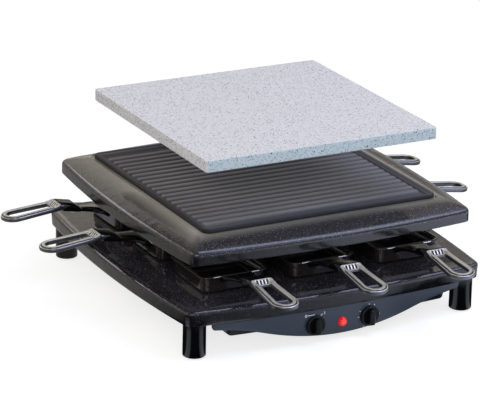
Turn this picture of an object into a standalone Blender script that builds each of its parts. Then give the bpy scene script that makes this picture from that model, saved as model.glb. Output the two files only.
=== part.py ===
"""Raclette grill with eight pans round a hollow column.

A square hood with bowed sides holds a ridged grill plate over a tubular heating
element. A stone slab, shown lifted off, can be lowered on to the plate.
Metres, +Z up. The origin is the middle of the feet on the table, and the control
panel faces -Y.
"""

import math

import bmesh
import bpy

# Clearances shared by all pieces
CLEAR = 0.0003              # gap between pieces that touch on the real object
OVERRUN = 0.002             # how far a cutter passes the faces it cuts
SHEET = 0.0012              # enamelled sheet steel

# The plate's half width drives the base, hood, frame, element, stone, pans and panel
PLATE_HALF = 0.167

# Base: bowed square tray on four legs
BASE_MARGIN = 0.0565        # how far the middle of a side stands outside the plate
BASE_BOW = 0.013            # how far a side bows outward
BASE_CORNER = 0.014
BASE_WALL_HEIGHT = 0.0197
BASE_WALL = 0.0015
BASE_DRAFT = 0.001          # the side leans in by this much towards its foot
BASE_RIM_WIDTH = 0.004
BASE_RIM_EDGE = 0.001
BASE_GROOVE_DROP = 0.0009   # rim down to the groove inside it
BASE_GROOVE_SIDE = 0.0055
BASE_GROOVE_WIDTH = 0.012
BASE_SHOULDER_RUN = 0.02    # groove to the flat of the deck
BASE_DECK_RISE = 0.0033     # rim up to the deck
BASE_OPENING = 0.028        # half width of the wiring hole under the column

# Legs
LEG_HEIGHT = 0.0455
LEG_RADIUS = 0.0147
LEG_INSET = 0.0305          # from the middle of a side to a leg's axis
LEG_ROUND = 0.0012
PAD_RADIUS = 0.0105
PAD_HEIGHT = 0.0035
PAD_STANDOUT = 0.0012
STUD_RADIUS = 0.004         # moulded stud that screws into the base
STUD_LENGTH = 0.011
BOSS_RADIUS = 0.0065

# Column, carrier cross and the frame that holds the hood up, spot-welded together
COLUMN_HEIGHT = 0.0522
COLUMN_HALF = 0.04
COLUMN_WALL = 0.0015
COLUMN_FLANGE = 0.012
COLUMN_CORNER = 0.006
CARRIER_THICKNESS = 0.002
CARRIER_ARM_WIDTH = 0.022
CARRIER_HOLE = 0.024
FRAME_INSET = 0.0005        # inside the plate's edge
FRAME_CORNER = 0.012
FRAME_HEIGHT = 0.0222
FRAME_FLANGE = 0.016

# Hood: bowed square shell with a square opening for the plate
HOOD_MARGIN = 0.044         # how far the middle of a side stands outside the plate
HOOD_BOW = 0.0117
HOOD_CORNER = 0.0115
HOOD_HEIGHT = 0.0264        # lower edge up to the land round the opening
HOOD_EDGE = 0.0024          # rounding between side and top
HOOD_TOP_DROP = 0.0079      # land down to the rounded edge
HOOD_LAP = 0.0055           # how far the plate's rim lies over the hood
HOOD_OPENING_CORNER = 0.01
HOOD_LAND_WIDTH = 0.009
HOOD_LIP = 0.0045           # flange turned down round the opening

# Grill plate
PLATE_CORNER = 0.01
PLATE_RIM_HEIGHT = 0.0049
PLATE_RIM_WIDTH = 0.0075
PLATE_RIM_ROUND = 0.0018
PLATE_FLOOR_RISE = 0.0005   # seat up to the floor between the ridges
PLATE_TUB_DEPTH = 0.005
PLATE_TUB_ROUND = 0.0015
PLATE_PLAY = 0.0007         # between the plate's tub and the opening
RIDGE_COUNT = 20
RIDGE_FIELD_INSET = 0.022   # from the plate's edge to the outermost half pitch
RIDGE_INSET = 0.015         # from the plate's edge to a ridge's end
RIDGE_HEIGHT = 0.0034
RIDGE_WIDTH = 0.0085
RIDGE_TOP_WIDTH = 0.0045
RIDGE_SINK = 0.0005

# Stone slab, lifted off the plate as in the photograph
STONE_INSET = 0.002         # inside the plate's edge
STONE_THICKNESS = 0.0155
STONE_CORNER = 0.004
STONE_CHAMFER = 0.0007
STONE_LIFT = 0.0741         # plate's rim up to the stone

# Heating element
ELEMENT_RADIUS = 0.00325
ELEMENT_RISE = 0.008        # carrier's top up to the tube's axis
ELEMENT_INSET = 0.042       # from the plate's edge
ELEMENT_CORNER = 0.025
ELEMENT_BEND = 0.01
ELEMENT_LEG_X = 0.01
ELEMENT_LEG_Y = -0.006
SADDLE_LENGTH = 0.006
SADDLE_WIDTH = 0.012
SADDLE_PLAY = 0.0006
BRACKET_RISE = 0.0176       # deck up to the terminal bracket
BRACKET_WIDTH = 0.012
BLOCK_LENGTH = 0.036
BLOCK_WIDTH = 0.024
BLOCK_HEIGHT = 0.016

# Pans
PAN_INSET = 0.0985          # from the base's edge to a pan's centre
PAN_SHARE = 0.384           # half width over the rim, as a share of the grid step
PAN_CORNER = 0.012
PAN_RIM_WIDTH = 0.003
PAN_DEPTH = 0.0222
PAN_TAPER = 0.0015
PAN_FLOOR_ROUND = 0.003

# Neck: black moulding from a pan to its grip; stations run outward from the pan
NECK_ROOT_WIDTH = 0.044
NECK_END_WIDTH = 0.0295
NECK_ROOT_DROP = 0.008      # pan's rim down to the neck's underside
NECK_SHOULDER_RISE = 0.0012 # pan's rim up to the strap where it leaves the pan
NECK_SHOULDER_RUN = 0.004
NECK_STRAP_THICKNESS = 0.004
NECK_STRAP_RISE = 0.0062    # pan's rim up to the outer end of the strap
NECK_STRAP_END = 0.0345
NECK_BLOCK_START = 0.0405
NECK_BLOCK_DEPTH = 0.0088
NECK_BLOCK_FALL = 0.0041    # the block's top falls by this towards the pan
NECK_TOP_RISE = 0.0153      # pan's rim up to the outer end of the block
NECK_LENGTH = 0.0617
NECK_EDGE = 0.0015
HANDLE_DROOP = math.radians(2.8)   # the two handles on the right hang lower

# Grip: flat loop that slopes down from the neck
GRIP_LENGTH = 0.081
GRIP_THICKNESS = 0.0065
GRIP_SLOPE = math.radians(5)
GRIP_HEAD_HALF = 0.0152
GRIP_HEAD_CORNER = 0.004
GRIP_TIP_RADIUS = 0.0185
GRIP_BAR_WIDTH = 0.008
GRIP_SLOT_START = 0.0117
GRIP_SLOT_HEAD_HALF = 0.0078
GRIP_SLOT_CORNER = 0.0025
GRIP_EDGE = 0.0019
VENT_COUNT = 4
VENT_PITCH = 0.005
VENT_RADIUS = 0.0013
VENT_START = 0.003
VENT_LENGTH = 0.0065

# Control panel under the front of the base
PANEL_SETBACK = 0.001       # behind the foot of the base's side
PANEL_THICKNESS = 0.003
PANEL_WING = 0.0205         # how far the panel reaches past the housing
PANEL_DROP = 0.0372         # height in the middle
PANEL_ARC_SHARE = 2 / 3     # the arc's half width, as a share of the housing's
PANEL_ARC_RISE = 0.0156     # the lower edge climbs by this much over the arc
PANEL_WING_RISE = 0.0137    # and by this much over a wing
HOUSING_INSET = 0.036       # from a leg's axis to the housing's side
HOUSING_WING_HEIGHT = 0.0193
HOUSING_LIFT = 0.0015
HOUSING_WALL = 0.0015
HOUSING_ROOM = 0.0135       # behind the panel, less the switch: room for the wires
CABLE_HOLE_HALF = 0.016
CABLE_HOLE_DEPTH = 0.013

# Knobs, switches and lamp
KNOB_X = (-0.038, 0.04)
KNOB_DROP = 0.0202          # panel's top down to a knob's axis
KNOB_RADIUS = 0.0132
KNOB_GAP = 0.0005
KNOB_SKIRT = 0.004
KNOB_EDGE = 0.001
KNOB_BAR_WIDTH = 0.0095
KNOB_BAR_DEPTH = 0.009
KNOB_BAR_CORNER = 0.003
KNOB_BORE_DEPTH = 0.008
SHAFT_RADIUS = 0.003
SHAFT_SEAT = 0.008          # length of shaft inside the switch
PANEL_HOLE_RADIUS = 0.0045
SWITCH_WIDTH = 0.024
SWITCH_HEIGHT = 0.02
SWITCH_DEPTH = 0.018
THERMOSTAT_RADIUS = 0.0112
THERMOSTAT_DEPTH = 0.016
LAMP_X = 0.001
LAMP_DROP = 0.0217          # panel's top down to the lamp's axis
LAMP_RADIUS = 0.0063
LAMP_DOME = 0.0042
LAMP_STEM_RADIUS = 0.0046
LAMP_HOLDER_RADIUS = 0.0058
LAMP_HOLDER_LENGTH = 0.016

# Cord gland in the back wall, and the wiring
GLAND_RISE = 0.009          # base's lower edge up to the gland's axis
GLAND_FLANGE_RADIUS = 0.0075
GLAND_FLANGE_LENGTH = 0.003
GLAND_BODY_RADIUS = 0.0055
GLAND_BODY_LENGTH = 0.008
GLAND_BORE_RADIUS = 0.0036
WIRE_RADIUS = 0.0011
WIRE_BEND = 0.003
WIRE_SPACING = 0.0032
WIRE_RISE = 0.006           # base's lower edge up to the wires inside it
WIRE_LEAD = 0.004           # straight length at a terminal

# Widths that follow from the plate
BASE_HALF = PLATE_HALF + BASE_MARGIN
HOOD_HALF = PLATE_HALF + HOOD_MARGIN
HOOD_OPENING = PLATE_HALF - HOOD_LAP
FRAME_HALF = PLATE_HALF - FRAME_INSET
STONE_HALF = PLATE_HALF - STONE_INSET
ELEMENT_HALF = PLATE_HALF - ELEMENT_INSET
RIDGE_HALF_LENGTH = PLATE_HALF - RIDGE_INSET
RIDGE_PITCH = 2 * (PLATE_HALF - RIDGE_FIELD_INSET) / RIDGE_COUNT
PAN_PITCH = BASE_HALF - PAN_INSET      # grid step between pan centres
PAN_HALF = PAN_PITCH * PAN_SHARE
LEG_OFFSET = BASE_HALF - LEG_INSET
HOUSING_HALF_WIDTH = LEG_OFFSET - HOUSING_INSET
PANEL_HALF_WIDTH = HOUSING_HALF_WIDTH + PANEL_WING
PANEL_ARC_HALF = HOUSING_HALF_WIDTH * PANEL_ARC_SHARE

# Levels and places that follow from the sizes above
BASE_TOP = LEG_HEIGHT + BASE_WALL_HEIGHT
GROOVE = BASE_TOP - BASE_GROOVE_DROP
DECK = BASE_TOP + BASE_DECK_RISE
COVER_TOP = LEG_HEIGHT + SHEET
CARRIER_BOTTOM = DECK + CLEAR + COLUMN_HEIGHT
CARRIER_TOP = CARRIER_BOTTOM + CARRIER_THICKNESS
HOOD_LAND = CARRIER_TOP + CLEAR + FRAME_HEIGHT + CLEAR + SHEET
HOOD_BOTTOM = HOOD_LAND - HOOD_HEIGHT
PLATE_SEAT = HOOD_LAND + CLEAR
PLATE_TOP = PLATE_SEAT + PLATE_RIM_HEIGHT
PLATE_FLOOR = PLATE_SEAT + PLATE_FLOOR_RISE
ELEMENT_LEVEL = CARRIER_TOP + ELEMENT_RISE
BLOCK_BOTTOM = DECK + BRACKET_RISE + SHEET + CLEAR
PAN_BOTTOM = DECK + CLEAR
PAN_RIM = PAN_BOTTOM + PAN_DEPTH
PANEL_TOP = LEG_HEIGHT - CLEAR
HOUSING_DEPTH = PANEL_THICKNESS + SWITCH_DEPTH + HOUSING_ROOM
KNOB_LEVEL = PANEL_TOP - KNOB_DROP
LAMP_LEVEL = PANEL_TOP - LAMP_DROP
GLAND_LEVEL = LEG_HEIGHT + GLAND_RISE
WIRE_LEVEL = LEG_HEIGHT + WIRE_RISE
PANEL_FRONT = BASE_HALF - BASE_DRAFT - PANEL_SETBACK
PANEL_BOW_RADIUS = ((BASE_HALF - BASE_BOW) ** 2 + BASE_BOW ** 2) / (2 * BASE_BOW)
CABLE_HOLE_Y = -PANEL_FRONT + HOUSING_DEPTH - HOUSING_WALL - CABLE_HOLE_DEPTH

PAN_PLACES = (
    ("front_left", -1, -1, 0, 0),
    ("front_middle", 0, -1, 0, 0),
    ("front_right", 1, -1, 0, 0),
    ("left_middle", -1, 0, -90, 0),
    ("left_back", -1, 1, -90, 0),
    ("right_middle", 1, 0, 90, HANDLE_DROOP),
    ("right_back", 1, 1, 90, HANDLE_DROOP),
    ("back_middle", 0, 1, 180, 0),
)
SMOOTH_ANGLE = math.radians(35)
TURN_STEPS = 16
CORNER_STEPS = 3
SIDE_STEPS = 6


def clear_scene():
    """Remove whatever the scene holds, and make the two collections."""
    for item in list(bpy.data.objects):
        bpy.data.objects.remove(item, do_unlink=True)
    made = []
    for name in ("raclette_grill", "cutters"):
        collection = bpy.data.collections.new(name)
        bpy.context.scene.collection.children.link(collection)
        made.append(collection)
    return made


PARTS, CUTTERS = clear_scene()


def paint(name, color, roughness, metallic=0.0):
    """Principled material from a colour in linear values."""
    material = bpy.data.materials.new(name)
    material.use_nodes = True
    shader = material.node_tree.nodes["Principled BSDF"]
    shader.inputs["Base Color"].default_value = (*color, 1.0)
    shader.inputs["Roughness"].default_value = roughness
    shader.inputs["Metallic"].default_value = metallic
    material.diffuse_color = (*color, 1.0)
    return material


ENAMEL = paint("speckled_enamel", (0.03, 0.03, 0.035), 0.3)
CAST_PLATE = paint("non_stick_aluminium", (0.07, 0.07, 0.08), 0.45, 0.4)
STONE = paint("granite", (0.55, 0.55, 0.58), 0.6)
BLACK_GLOSS = paint("black_gloss_plastic", (0.01, 0.01, 0.012), 0.15)
BLACK_MATTE = paint("black_matte_plastic", (0.015, 0.015, 0.016), 0.5)
PAN_COAT = paint("non_stick_steel", (0.012, 0.012, 0.013), 0.25, 0.2)
GRIP_GREY = paint("gunmetal_paint", (0.22, 0.22, 0.21), 0.35, 0.6)
PANEL_GREY = paint("blue_grey_plastic", (0.05, 0.07, 0.09), 0.4)
STEEL = paint("zinc_plated_steel", (0.5, 0.5, 0.48), 0.35, 1.0)
TUBE_STEEL = paint("heater_sheath", (0.12, 0.11, 0.1), 0.5, 1.0)
CERAMIC = paint("white_ceramic", (0.75, 0.72, 0.65), 0.6)
RUBBER = paint("black_rubber", (0.02, 0.02, 0.02), 0.9)
LAMP_RED = paint("red_lens", (0.8, 0.02, 0.03), 0.15)
WIRE_SLEEVE = paint("silicone_sleeve", (0.35, 0.33, 0.3), 0.7)


def place(name, data, material, cutter=False):
    """Put a mesh or curve in the scene as an object with one material."""
    item = bpy.data.objects.new(name, data)
    data.materials.append(material)
    if cutter:
        item.hide_render = True
        item.display_type = "WIRE"
        CUTTERS.objects.link(item)
    else:
        PARTS.objects.link(item)
    return item


def finish(name, shape, material, cutter=False):
    """Turn a bmesh into an object with smooth round faces."""
    bmesh.ops.recalc_face_normals(shape, faces=shape.faces)
    mesh = bpy.data.meshes.new(name)
    shape.to_mesh(mesh)
    shape.free()
    mesh.shade_smooth()
    mesh.set_sharp_from_angle(angle=SMOOTH_ANGLE)
    return place(name, mesh, material, cutter)


def loft(name, rings, material, closed=False, cutter=False):
    """Solid through rings of equal count; closed joins the last to the first."""
    shape = bmesh.new()
    loops = [[shape.verts.new(point) for point in ring] for ring in rings]
    pairs = list(zip(loops, loops[1:]))
    if closed:
        pairs.append((loops[-1], loops[0]))
    for low, high in pairs:
        for i in range(len(low)):
            j = (i + 1) % len(low)
            shape.faces.new((low[i], low[j], high[j], high[i]))
    if not closed:
        shape.faces.new(loops[0])
        shape.faces.new(loops[-1])
    return finish(name, shape, material, cutter)


def box(name, size, centre, material, cutter=False):
    """Box from a cube primitive, its origin at its centre."""
    shape = bmesh.new()
    bmesh.ops.create_cube(shape, size=1.0)
    bmesh.ops.scale(shape, vec=size, verts=shape.verts)
    item = finish(name, shape, material, cutter)
    item.location = centre
    return item


def rod(name, radius, length, centre, material, turn=(0, 0, 0), cutter=False, steps=TURN_STEPS):
    """Cylinder along its own Z, turned by Euler angles."""
    shape = bmesh.new()
    bmesh.ops.create_cone(
        shape, cap_ends=True, segments=steps, radius1=radius, radius2=radius, depth=length
    )
    item = finish(name, shape, material, cutter)
    item.location = centre
    item.rotation_euler = turn
    return item


def turned(name, profile, material, closed=False, steps=TURN_STEPS):
    """Solid of revolution about the object's Z from (radius, height) pairs."""
    mesh = bpy.data.meshes.new(name)
    count = len(profile)
    edges = [(i, i + 1) for i in range(count - 1)]
    if closed:
        edges.append((count - 1, 0))
    mesh.from_pydata([(radius, 0, height) for radius, height in profile], edges, [])
    item = place(name, mesh, material)
    screw = item.modifiers.new("turn", "SCREW")
    screw.steps = steps
    screw.render_steps = steps
    screw.use_merge_vertices = True
    screw.merge_threshold = CLEAR / 30
    screw.use_smooth_shade = True
    return item


def combine(target, other, operation):
    """Cut or join another solid, which becomes a hidden cutter."""
    modifier = target.modifiers.new(operation.lower(), "BOOLEAN")
    modifier.operation = operation
    modifier.object = other
    modifier.solver = "EXACT"


def arc(centre_x, centre_y, radius, start, end, steps):
    """Points on an arc, both ends included."""
    angles = [start + (end - start) * i / steps for i in range(steps + 1)]
    return [(centre_x + radius * math.cos(a), centre_y + radius * math.sin(a)) for a in angles]


def bowed_ring(half, bow, corner, level):
    """Square ring whose sides bow outward; half is measured at mid-side."""
    if bow > 0:
        radius = ((half - bow) ** 2 + bow ** 2) / (2 * bow)
        back = radius - half
        inner = radius - corner
        centre = (math.sqrt(2 * inner ** 2 - back ** 2) - back) / 2
        lean = math.atan2(centre, back + centre)
        side = arc(-back, 0, radius, -lean, lean, SIDE_STEPS)
    else:
        centre = half - corner
        lean = 0.0
        side = [(half, centre * (2 * i / SIDE_STEPS - 1)) for i in range(SIDE_STEPS + 1)]
    quarter = arc(centre, -centre, corner, lean - math.pi / 2, -lean, CORNER_STEPS) + side[1:-1]
    points = []
    for turn in range(4):
        c, s = ((1, 0), (0, 1), (-1, 0), (0, -1))[turn]
        points += [(x * c - y * s, x * s + y * c, level) for x, y in quarter]
    return points


def blend(first, second, share, level):
    """Ring part of the way from one ring to another, at its own level."""
    return [
        (a[0] + (b[0] - a[0]) * share, a[1] + (b[1] - a[1]) * share, level)
        for a, b in zip(first, second)
    ]


def rectangle(half_x, half_y, corner, level, steps=CORNER_STEPS):
    """Rectangular ring with round corners."""
    points = []
    for turn, (sign_x, sign_y) in enumerate(((1, -1), (1, 1), (-1, 1), (-1, -1))):
        start = (turn - 1) * math.pi / 2
        centre = (sign_x * (half_x - corner), sign_y * (half_y - corner))
        points += arc(*centre, corner, start, start + math.pi / 2, steps)
    return [(x, y, level) for x, y in points]


def hull(circles, steps):
    """Outline round circles (x, y, radius) taken anticlockwise, joined by tangents."""
    normals = []
    for (ax, ay, ar), (bx, by, br) in zip(circles, circles[1:] + circles[:1]):
        gap = math.hypot(bx - ax, by - ay)
        normals.append(math.atan2(by - ay, bx - ax) - math.acos((ar - br) / gap))
    points = []
    for i, (x, y, radius) in enumerate(circles):
        start, end = normals[i - 1], normals[i]
        while end < start:
            end += 2 * math.pi
        points += arc(x, y, radius, start, end, steps)
    return points


def flat(name, outlines, thickness, material):
    """Flat plate from a 2D curve: the first outline, less the others."""
    curve = bpy.data.curves.new(name, "CURVE")
    curve.dimensions = "2D"
    curve.fill_mode = "BOTH"
    curve.extrude = thickness / 2
    for outline in outlines:
        spline = curve.splines.new("POLY")
        spline.points.add(len(outline) - 1)
        for point, (x, y) in zip(spline.points, outline):
            point.co = (x, y, 0, 1)
        spline.use_cyclic_u = True
    return place(name, curve, material)


def weld(item):
    """Join the loose caps of a curve to its sides."""
    modifier = item.modifiers.new("weld", "WELD")
    modifier.merge_threshold = CLEAR / 30


def bent_path(points, bends, steps=4):
    """Points along straight runs whose inner corners are arcs of the bends given."""
    path = [tuple(points[0])]
    for before, corner, after, radius in zip(points, points[1:], points[2:], bends):
        way_in = [c - b for b, c in zip(before, corner)]
        way_out = [a - c for c, a in zip(corner, after)]
        length_in = math.sqrt(sum(v * v for v in way_in))
        length_out = math.sqrt(sum(v * v for v in way_out))
        way_in = [v / length_in for v in way_in]
        way_out = [v / length_out for v in way_out]
        turn = math.acos(max(-1, min(1, sum(a * b for a, b in zip(way_in, way_out)))))
        reach = radius * math.tan(turn / 2)
        start = [c - reach * v for c, v in zip(corner, way_in)]
        across = [b - a * math.cos(turn) for a, b in zip(way_in, way_out)]
        size = math.sin(turn)
        for i in range(steps + 1):
            angle = turn * i / steps
            path.append(tuple(
                s + radius * (math.sin(angle) * v + (1 - math.cos(angle)) * w / size)
                for s, v, w in zip(start, way_in, across)
            ))
    path.append(tuple(points[-1]))
    return path


def tube(name, path, radius, material, resolution=2):
    """Round tube with filled ends along a list of points."""
    curve = bpy.data.curves.new(name, "CURVE")
    curve.dimensions = "3D"
    curve.bevel_depth = radius
    curve.bevel_resolution = resolution
    curve.use_fill_caps = True
    spline = curve.splines.new("POLY")
    spline.points.add(len(path) - 1)
    for point, spot in zip(spline.points, path):
        point.co = (*spot, 1)
    return place(name, curve, material)


def base_ring(inset, level):
    """Ring that follows the base's outline, set in from it."""
    corner = max(BASE_CORNER - inset, BASE_CORNER * 0.3)
    return bowed_ring(BASE_HALF - inset, BASE_BOW, corner, level)


def make_base():
    """Tray with a rim, a groove and a shoulder that rounds up to a flat deck, and its cover."""
    rim_in = BASE_RIM_EDGE + BASE_RIM_WIDTH
    groove_in = rim_in + BASE_GROOVE_SIDE
    shoulder = groove_in + BASE_GROOVE_WIDTH
    rows = [(rim_in, BASE_TOP), (groove_in, GROOVE), (shoulder, GROOVE)]
    for share in (1 / 4, 1 / 2, 3 / 4, 1):
        level = DECK - (DECK - GROOVE) * (1 - share) ** 2
        rows.append((shoulder + BASE_SHOULDER_RUN * share, level))
    top = [base_ring(inset, level) for inset, level in rows]
    under = [base_ring(inset, level - SHEET) for inset, level in reversed(rows)]
    hole = (BASE_OPENING, 0, BASE_OPENING * 0.15)
    rings = [
        base_ring(BASE_DRAFT, LEG_HEIGHT),
        base_ring(0, BASE_TOP - BASE_RIM_EDGE),
        base_ring(BASE_RIM_EDGE, BASE_TOP),
        *top,
        bowed_ring(*hole, DECK),
        bowed_ring(*hole, DECK - SHEET),
        *under,
        base_ring(BASE_WALL + BASE_RIM_EDGE, BASE_TOP - SHEET),
        base_ring(BASE_DRAFT + BASE_WALL, LEG_HEIGHT),
    ]
    shell = loft("base_shell", rings, ENAMEL, closed=True)
    gland_cut = rod(
        "gland_cut", GLAND_BODY_RADIUS + CLEAR, GLAND_BODY_LENGTH,
        (0, BASE_HALF, GLAND_LEVEL), ENAMEL, turn=(math.pi / 2, 0, 0), cutter=True,
    )
    combine(shell, gland_cut, "DIFFERENCE")
    boss_low, boss_high = COVER_TOP + CLEAR, GROOVE - SHEET / 2
    bosses = corner_rods("leg_bosses", BOSS_RADIUS, boss_low, boss_high)
    combine(shell, bosses, "UNION")
    bore_high = LEG_HEIGHT + STUD_LENGTH + CLEAR
    bores = corner_rods("boss_bores", STUD_RADIUS + CLEAR, boss_low - OVERRUN, bore_high)
    combine(shell, bores, "DIFFERENCE")

    inset = BASE_DRAFT + BASE_WALL + CLEAR
    cover = loft(
        "base_bottom_cover",
        [base_ring(inset, LEG_HEIGHT), base_ring(inset, COVER_TOP)],
        ENAMEL,
    )
    stud_holes = corner_rods(
        "stud_holes", STUD_RADIUS + CLEAR, LEG_HEIGHT - OVERRUN, COVER_TOP + OVERRUN
    )
    combine(cover, stud_holes, "DIFFERENCE")
    combine(cover, cable_cut("cover_cable_cut"), "DIFFERENCE")


def corner_rods(name, radius, low, high):
    """Four cutters on the axes of the legs, between two heights."""
    rods = rod(
        name, radius, high - low, (-LEG_OFFSET, -LEG_OFFSET, (low + high) / 2), ENAMEL, cutter=True
    )
    for step in ((2 * LEG_OFFSET, 0, 0), (0, 2 * LEG_OFFSET, 0)):
        array = rods.modifiers.new("corners", "ARRAY")
        array.count = 2
        array.use_relative_offset = False
        array.use_constant_offset = True
        array.constant_offset_displace = step
    return rods


def cable_cut(name):
    """Cutter for the hole where the wires pass from the base to the housing."""
    return box(
        name, (2 * CABLE_HOLE_HALF, CABLE_HOLE_DEPTH, 2 * (SHEET + HOUSING_WALL + OVERRUN)),
        (0, CABLE_HOLE_Y + CABLE_HOLE_DEPTH / 2, LEG_HEIGHT), STEEL, cutter=True,
    )


def make_legs():
    """Legs with a stud on top that screws into the base, and a rubber pad below."""
    pad_seat = PAD_HEIGHT + CLEAR
    top = LEG_HEIGHT - CLEAR
    stud_top = LEG_HEIGHT + STUD_LENGTH
    profile = [
        (0, stud_top),
        (STUD_RADIUS, stud_top),
        (STUD_RADIUS, top),
        (LEG_RADIUS, top),
        (LEG_RADIUS, PAD_STANDOUT + LEG_ROUND),
        (LEG_RADIUS - LEG_ROUND, PAD_STANDOUT),
        (PAD_RADIUS + CLEAR, PAD_STANDOUT),
        (PAD_RADIUS + CLEAR, pad_seat),
        (0, pad_seat),
    ]
    corners = (
        ("front_left", -1, -1),
        ("front_right", 1, -1),
        ("back_left", -1, 1),
        ("back_right", 1, 1),
    )
    for name, side_x, side_y in corners:
        x, y = side_x * LEG_OFFSET, side_y * LEG_OFFSET
        leg = turned(f"leg_{name}", profile, BLACK_GLOSS)
        leg.location = (x, y, 0)
        rod(f"foot_pad_{name}", PAD_RADIUS, PAD_HEIGHT, (x, y, PAD_HEIGHT / 2), RUBBER)


def make_column():
    """Square spool that carries the hood; the wires rise inside it."""
    outer, inner = COLUMN_HALF, COLUMN_HALF - COLUMN_WALL
    flange = COLUMN_HALF + COLUMN_FLANGE
    bottom, top = DECK + CLEAR, CARRIER_BOTTOM - CLEAR
    sizes = [
        (flange, bottom), (flange, bottom + COLUMN_WALL), (outer, bottom + COLUMN_WALL),
        (outer, top - COLUMN_WALL), (flange, top - COLUMN_WALL), (flange, top),
        (inner, top), (inner, bottom),
    ]
    loft(
        "center_column",
        [rectangle(half, half, COLUMN_CORNER, level, 2) for half, level in sizes],
        BLACK_MATTE, closed=True,
    )


def make_carrier():
    """Flat cross with four saddles for the element, and the frame that lifts the hood."""
    centre = COLUMN_HALF + COLUMN_FLANGE
    notch = CARRIER_ARM_WIDTH / math.sqrt(2)
    side = notch / 2
    quarter = [
        (centre, centre - notch), (FRAME_HALF + side, FRAME_HALF - side),
        (FRAME_HALF - side, FRAME_HALF + side), (centre - notch, centre),
    ]

    def arms(level):
        turns = ((0, -1), (1, 0), (0, 1), (-1, 0))
        return [(x * c - y * s, x * s + y * c, level) for c, s in turns for x, y in quarter]

    def hole(level):
        return rectangle(CARRIER_HOLE, CARRIER_HOLE, CARRIER_HOLE * 0.2, level)

    low, high = CARRIER_BOTTOM, CARRIER_TOP
    rings = [arms(low), arms(high), hole(high), hole(low)]
    cross = loft("carrier_cross", rings, STEEL, closed=True)

    spot = ELEMENT_HALF - ELEMENT_CORNER * (1 - math.sqrt(0.5))
    saddle_low = CARRIER_BOTTOM + CARRIER_THICKNESS / 2
    saddle_height = ELEMENT_LEVEL - CLEAR - saddle_low
    shape = bmesh.new()
    bmesh.ops.create_cube(shape, size=1.0)
    bmesh.ops.scale(shape, vec=(SADDLE_WIDTH, SADDLE_LENGTH, saddle_height), verts=shape.verts)
    saddles = finish("saddles", shape, STEEL, cutter=True)
    saddles.location = (spot, spot, saddle_low + saddle_height / 2)
    saddles.rotation_euler = (0, 0, math.pi / 4)
    saddle_grooves = rod(
        "saddle_grooves", ELEMENT_RADIUS + SADDLE_PLAY, SADDLE_LENGTH + 2 * OVERRUN,
        (spot, spot, ELEMENT_LEVEL), STEEL, turn=(math.pi / 2, 0, math.pi / 4), cutter=True,
    )
    middle = bpy.data.objects.new("middle", None)
    CUTTERS.objects.link(middle)
    for item, operation in ((saddles, "UNION"), (saddle_grooves, "DIFFERENCE")):
        mirror = item.modifiers.new("corners", "MIRROR")
        mirror.mirror_object = middle
        mirror.use_axis = (True, True, False)
        mirror.merge_threshold = CLEAR / 30
        combine(cross, item, operation)

    low = CARRIER_TOP + CLEAR
    high = low + FRAME_HEIGHT
    inside, flange = FRAME_HALF - SHEET, FRAME_HALF - FRAME_FLANGE
    sizes = [
        (FRAME_HALF, low), (FRAME_HALF, high), (inside, high),
        (inside, low + SHEET), (flange, low + SHEET), (flange, low),
    ]
    loft(
        "reflector_frame",
        [rectangle(half, half, FRAME_CORNER - (FRAME_HALF - half) * 0.5, level)
         for half, level in sizes],
        STEEL, closed=True,
    )


def make_hood():
    """Shell with bowed sides, a gently domed top and a straight opening."""
    edge_top = HOOD_LAND - HOOD_TOP_DROP

    def outer(inset, level):
        return bowed_ring(HOOD_HALF - inset, HOOD_BOW, max(HOOD_CORNER - inset, HOOD_EDGE), level)

    def opening(outset, level):
        return bowed_ring(HOOD_OPENING + outset, 0, HOOD_OPENING_CORNER + outset, level)

    land = HOOD_LAND_WIDTH
    shares = (1 / 3, 2 / 3)

    def dome(level_drop):
        first = opening(land, HOOD_LAND)
        last = outer(HOOD_EDGE, edge_top)
        return [
            blend(first, last, share, HOOD_LAND - HOOD_TOP_DROP * share ** 1.6 - level_drop)
            for share in shares
        ]

    corner_share = 1 - math.sqrt(0.5)
    rings = [
        outer(0, HOOD_BOTTOM),
        outer(0, edge_top - HOOD_EDGE),
        outer(HOOD_EDGE * corner_share, edge_top - HOOD_EDGE * corner_share),
        outer(HOOD_EDGE, edge_top),
        *reversed(dome(0)),
        opening(land, HOOD_LAND),
        opening(0, HOOD_LAND),
        opening(0, HOOD_LAND - HOOD_LIP),
        opening(SHEET, HOOD_LAND - HOOD_LIP),
        opening(SHEET, HOOD_LAND - SHEET),
        opening(land, HOOD_LAND - SHEET),
        *dome(SHEET),
        outer(HOOD_EDGE, edge_top - SHEET),
        outer(SHEET, edge_top - HOOD_EDGE),
        outer(SHEET, HOOD_BOTTOM),
    ]
    loft("hood_shell", rings, ENAMEL, closed=True)


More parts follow.
